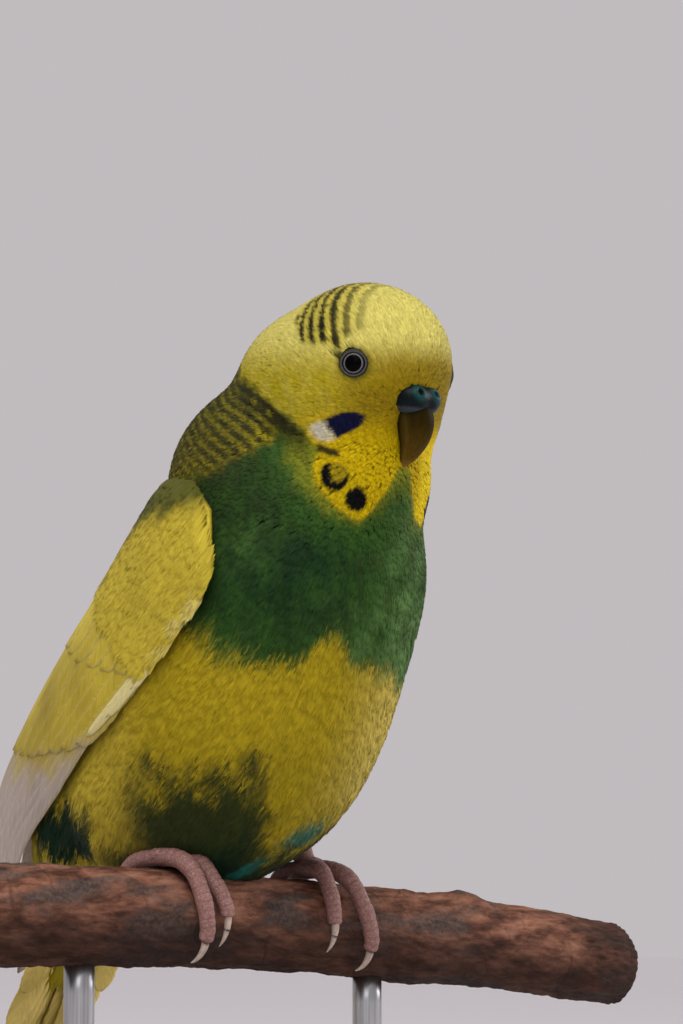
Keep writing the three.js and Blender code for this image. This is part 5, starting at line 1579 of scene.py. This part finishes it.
def toe_rings(side, index, rows=96, columns=28):
    t = np.linspace(0, 1, rows)
    path, radius = toe_path(side, index, t)
    middle = perch_point(path[:, 0], path[:, 1], path[:, 2])
    along = unit(np.gradient(middle, axis=0))
    out = unit(middle - perch_point(path[:, 0], path[:, 1], 0 * t))
    out = unit(out - along * (out * along).sum(-1, keepdims=True))
    side_way = np.cross(along, out)
    turn = np.arange(columns) * 2 * math.pi / columns
    scutes = 15
    step = (t * scutes) % 1
    upper = smooth(-0.2, 0.6, np.cos(turn))[None]
    band = (0.05 * np.sin(np.pi * step) ** 0.7)[:, None] * upper
    pads = 0.05 * np.sin(t[:, None] * 3 * math.pi) * (1 - upper)
    joints = 0.07 * (np.exp(-(((t - 0.32) / 0.06) ** 2)) + np.exp(-(((t - 0.66) / 0.06) ** 2)))[:, None]
    end = np.sqrt(np.clip(1 - (np.clip(t - 0.965, 0, 1) / 0.036) ** 2, 0.05, 1))[:, None]
    reach = radius[:, None] * (0.96 + band + pads + joints) * (0.55 + 0.45 * end)
    spread = out[:, None] * np.cos(turn)[None, :, None] + side_way[:, None] * np.sin(turn)[None, :, None]
    rings = middle[:, None] + spread * reach[..., None]
    vane = np.zeros(rings.shape)
    vane[..., 0] = smooth(0.16, 0.0, np.minimum(step, 1 - step))[:, None] * upper
    return rings, vane


def build_foot(side, material, claw_horn):
    ball, _ = FEET[side]
    seat = perch_point(ball, 0.0, perch_radius(ball, 0.0) + GAP)
    pieces = []
    for index in range(4):
        rings, vane = toe_rings(side, index)
        ends = np.concatenate([vane.reshape(-1, 3), vane[0, :1], vane[-1, :1]])
        pieces.append(tube_piece(f"toe_{side}_{index + 1}", rings, material, "foot_skin", vane=ends))
        build_claw(side, index, claw_horn)
    rows, columns = 40, 40
    angle = np.linspace(0.03, math.pi - 0.03, rows)[:, None]
    turn = (np.arange(columns) * 2 * math.pi / columns)[None]
    swell = 1 + 0.03 * np.sin(9 * turn) * np.sin(6 * angle)
    ways = np.stack([np.sin(angle) * np.cos(turn), np.sin(angle) * np.sin(turn), np.cos(angle) + 0 * turn], -1)
    scaled = ways * np.array([3.1, 3.0, 1.85]) * swell[..., None]
    rings = seat + PERCH_UP * 1.8 + scaled @ np.array([PERCH_FRONT, PERCH_ALONG, PERCH_UP])
    tube_piece(f"foot_ball_{side}", rings, material, "foot_skin", vane=np.zeros((rows * columns + 2, 3)))
    top = seat + np.array([0, 2.0, 4.6])
    t = np.linspace(0, 1, 40)[:, None, None]
    up = unit(top - seat)
    first = unit(np.cross(up, PERCH_ALONG))
    second = np.cross(up, first)
    turn = (np.arange(32) * 2 * math.pi / 32)[None, :, None]
    band = 1 + 0.04 * np.abs(np.sin(t * math.pi * 5))
    rings = seat + np.array([0, 0.4, 1.2]) + (top - seat) * t * 1.35 + (first * np.cos(turn) + second * np.sin(turn)) * 1.75 * band
    piece = tube_piece(f"shank_{side}", rings, material, "foot_skin", vane=np.zeros((40 * 32 + 2, 3)))
    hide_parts(f"foot_{side}")


CLAW_LENGTH = 5.2
CLAW_ARCH = 0.9


def claw_material():
    s = Shader("claw_horn", Roughness=0.3, Specular_IOR_Level=0.5, Coat_Weight=0.2, Coat_Roughness=0.2)
    parts = s.node("ShaderNodeSeparateXYZ", {"Vector": s.attribute("vane", "Vector")}).outputs
    grain = s.noise(s.mapped(s.object_place(), (900, 900, 900)), 1.0, 3)
    colour = s.ramp(parts[1], [(0.0, (0.22, 0.13, 0.11)), (0.25, (0.42, 0.31, 0.25)), (1.0, (0.55, 0.46, 0.36))])
    s.link(s.mix(colour, s.ramp(grain, [(0.3, (0.75, 0.75, 0.75)), (0.7, (1.1, 1.1, 1.1))]), 1.0, "MULTIPLY"), "Base Color")
    s.bump(grain, 0.2, 0.08)
    return s.material


def build_claw(side, index, material):
    start, sweep, thick, thin = TOES[index]
    along = FEET[side][1][index]
    rows, columns = 28, 20
    t = np.linspace(0, 1, rows)
    sign = math.copysign(1, sweep)
    round_ = sweep + sign * (CLAW_LENGTH * t - 0.9 * (1 - t)) * 180 / math.pi / (PERCH_RADIUS + 1.5)
    height = thin + (0.5 - thin) * t
    arch = CLAW_ARCH * np.sin(math.pi * (0.25 + 0.75 * t)) - CLAW_ARCH * math.sin(math.pi / 4) * (1 - t)
    middle = perch_point(along, round_, perch_radius(along, round_) + GAP + height + np.maximum(0, arch))
    way = unit(np.gradient(middle, axis=0))
    side_way = unit(np.cross(way, np.broadcast_to(PERCH_UP + 0.3 * PERCH_FRONT, way.shape)))
    up = np.cross(side_way, way)
    radius = 0.86 + (0.10 - 0.86) * t**1.25
    turn = np.arange(columns) * 2 * math.pi / columns
    ring = side_way[:, None] * (np.cos(turn) * 0.78)[None, :, None] + up[:, None] * np.sin(turn)[None, :, None]
    rings = middle[:, None] + ring * radius[:, None, None]
    vane = np.zeros(rings.shape)
    vane[..., 1] = t[:, None]
    ends = np.concatenate([vane.reshape(-1, 3), vane[0, :1], vane[-1, :1]])
    piece = tube_piece(f"nail_{side}_{index + 1}", rings, material, "claws", vane=ends)
    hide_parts(f"claw_{side}_{index + 1}")


# Stand
BASE_RADIUS = 62
BASE_HEIGHT = 8
ROD_AT = 30
ROD_RADIUS = 2.5


def base_material():
    s = Shader("satin_black_wood", Roughness=0.42, Specular_IOR_Level=0.4, Coat_Weight=0.15, Coat_Roughness=0.3)
    grain = s.noise(s.mapped(s.object_place(), (60, 700, 700)), 1.0, 5)
    s.link(s.ramp(grain, [(0.35, (0.018, 0.017, 0.017)), (0.65, (0.034, 0.032, 0.031))]), "Base Color")
    s.bump(grain, 0.12, 0.15)
    return s.material


def rod_material():
    s = Shader("brushed_steel", Roughness=0.33, Metallic=1.0)
    grain = s.noise(s.mapped(s.object_place(), (3000, 3000, 60)), 1.0, 3)
    s.link(s.ramp(grain, [(0.3, (0.30, 0.30, 0.31)), (0.7, (0.46, 0.46, 0.47))]), "Base Color")
    s.bump(grain, 0.1, 0.05)
    return s.material


def build_stand():
    wood, steel = base_material(), rod_material()
    turn = np.arange(160) * 2 * math.pi / 160
    ring = np.stack([np.cos(turn), np.sin(turn), 0 * turn], -1)
    edge = [(0.985, 0.0), (1.0, 0.0)]
    profile = [(0.5, 0.0), (BASE_RADIUS - 1.2, 0.0)]
    for k in range(7):
        a = math.pi / 2 * k / 6
        profile.append((BASE_RADIUS - 1.2 + 1.2 * math.sin(a), 1.2 - 1.2 * math.cos(a)))
    for k in range(7):
        a = math.pi / 2 * k / 6
        profile.append((BASE_RADIUS - 1.2 + 1.2 * math.cos(a), BASE_HEIGHT - 1.2 + 1.2 * math.sin(a)))
    profile.append((0.5, BASE_HEIGHT))
    rings = np.stack([ring * r + [0, 0, z] for r, z in profile]) - BIRD_ORIGIN
    piece = tube_piece("base_disc", rings, wood, "stand")
    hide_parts("stand_base")
    for side, sign in (("left", 1), ("right", -1)):
        top = perch_point(sign * ROD_AT, 0, 0)
        foot = BASE_HEIGHT + 0.1 - BIRD_ORIGIN[2]
        turn = np.arange(48) * 2 * math.pi / 48
        circle = np.stack([np.cos(turn), np.sin(turn), 0 * turn], -1) * ROD_RADIUS
        heights = np.linspace(foot, top[2] - PERCH_RADIUS + 1.2, 12)
        rings = np.stack([circle + [top[0], top[1], z] for z in heights])
        piece = tube_piece(f"rod_{side}", rings, steel, "stand_metal")
        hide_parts(f"stand_rod_{side}")


for name, sign in (("left", 1), ("right", -1)):
    build_wing(name, sign, np.random.default_rng(23))
build_tail(np.random.default_rng(29))
build_eyes()
build_cere()
HORN = bill_material()
build_bill("bill_upper", UPPER_BILL, HORN, 60)
build_bill("bill_lower", LOWER_BILL, HORN, 30)
build_perch(bark_material())
FOOT_SKIN, CLAW_HORN = foot_material(), claw_material()
for name in FEET:
    build_foot(name, FOOT_SKIN, CLAW_HORN)
build_stand()


# Floor, light and camera
PHOTO_WIDTH, PHOTO_HEIGHT = 683, 1024
SKY_STRENGTH = 0.45
ORIGIN_PIXEL = (228, 856)
PIXELS_PER_MM = 6
CAMERA_FAR = 600
CAMERA_TURN = -48
CAMERA_RISE = -6


def camera_axes():
    turn, rise = math.radians(CAMERA_TURN), math.radians(CAMERA_RISE)
    right = np.array([math.cos(turn), math.sin(turn), 0])
    level = np.array([-math.sin(turn), math.cos(turn), 0])
    forward = math.cos(rise) * level - math.sin(rise) * np.array([0, 0, 1])
    up = math.sin(rise) * level + math.cos(rise) * np.array([0, 0, 1])
    return right, forward, up


def build_camera():
    right, forward, up = camera_axes()
    target = right * ((PHOTO_WIDTH / 2 - ORIGIN_PIXEL[0]) / PIXELS_PER_MM) + up * ((ORIGIN_PIXEL[1] - PHOTO_HEIGHT / 2) / PIXELS_PER_MM)
    eye = as_row(target - forward * CAMERA_FAR)
    data = bpy.data.cameras.new("camera")
    data.sensor_width = 36
    data.lens = 36 * CAMERA_FAR * PIXELS_PER_MM / PHOTO_HEIGHT
    data.clip_start, data.clip_end = 0.05, 20
    camera = bpy.data.objects.new("camera", data)
    matrix = Matrix.Identity(4)
    for i in range(3):
        matrix[i][0], matrix[i][1], matrix[i][2], matrix[i][3] = right[i], up[i], -forward[i], eye[i]
    camera.matrix_world = matrix
    bpy.context.scene.collection.objects.link(camera)
    bpy.context.scene.camera = camera


def build_light(name, place, aim, size, power, colour=(1, 1, 1)):
    data = bpy.data.lights.new(name, "AREA")
    data.size, data.energy, data.color = size, power, colour
    lamp = bpy.data.objects.new(name, data)
    lamp.location = place
    lamp.rotation_euler = (Vector(aim) - Vector(place)).to_track_quat("-Z", "Y").to_euler()
    bpy.context.scene.collection.objects.link(lamp)


def build_studio():
    mesh = bpy.data.meshes.new("floor")
    reach = 3.0
    mesh.from_pydata([(-reach, -reach, 0), (reach, -reach, 0), (reach, reach, 0), (-reach, reach, 0)], [], [(0, 1, 2, 3)])
    s = Shader("pale_floor", Roughness=0.7, Specular_IOR_Level=0.2)
    s.surface.inputs["Base Color"].default_value = (0.78, 0.75, 0.77, 1)
    mesh.materials.append(s.material)
    floor = bpy.data.objects.new("floor", mesh)
    bpy.context.scene.collection.objects.link(floor)
    world = bpy.data.worlds.new("studio")
    world.use_nodes = True
    background = world.node_tree.nodes["Background"]
    background.inputs[0].default_value = (0.53, 0.50, 0.515, 1)
    background.inputs[1].default_value = 1.0
    bpy.context.scene.world = world
    middle = (0, -0.02, 0.13)
    build_light("key", (-0.35, -0.25, 0.75), middle, 0.45, 4.4)
    build_light("fill", (-0.9, -0.7, 0.60), middle, 0.5, 1.6)
    build_light("side", (0.85, -0.45, 0.48), middle, 0.5, 4.6)
    sun = bpy.data.lights.new("sky", "SUN")
    sun.energy, sun.angle = SKY_STRENGTH, 1.2
    lamp = bpy.data.objects.new("sky", sun)
    lamp.rotation_euler = (Vector(middle) - Vector((-0.35, -0.25, 1.0))).to_track_quat("-Z", "Y").to_euler()
    bpy.context.scene.collection.objects.link(lamp)


build_camera()
build_studio()
bpy.context.scene.view_settings.view_transform = "Standard"
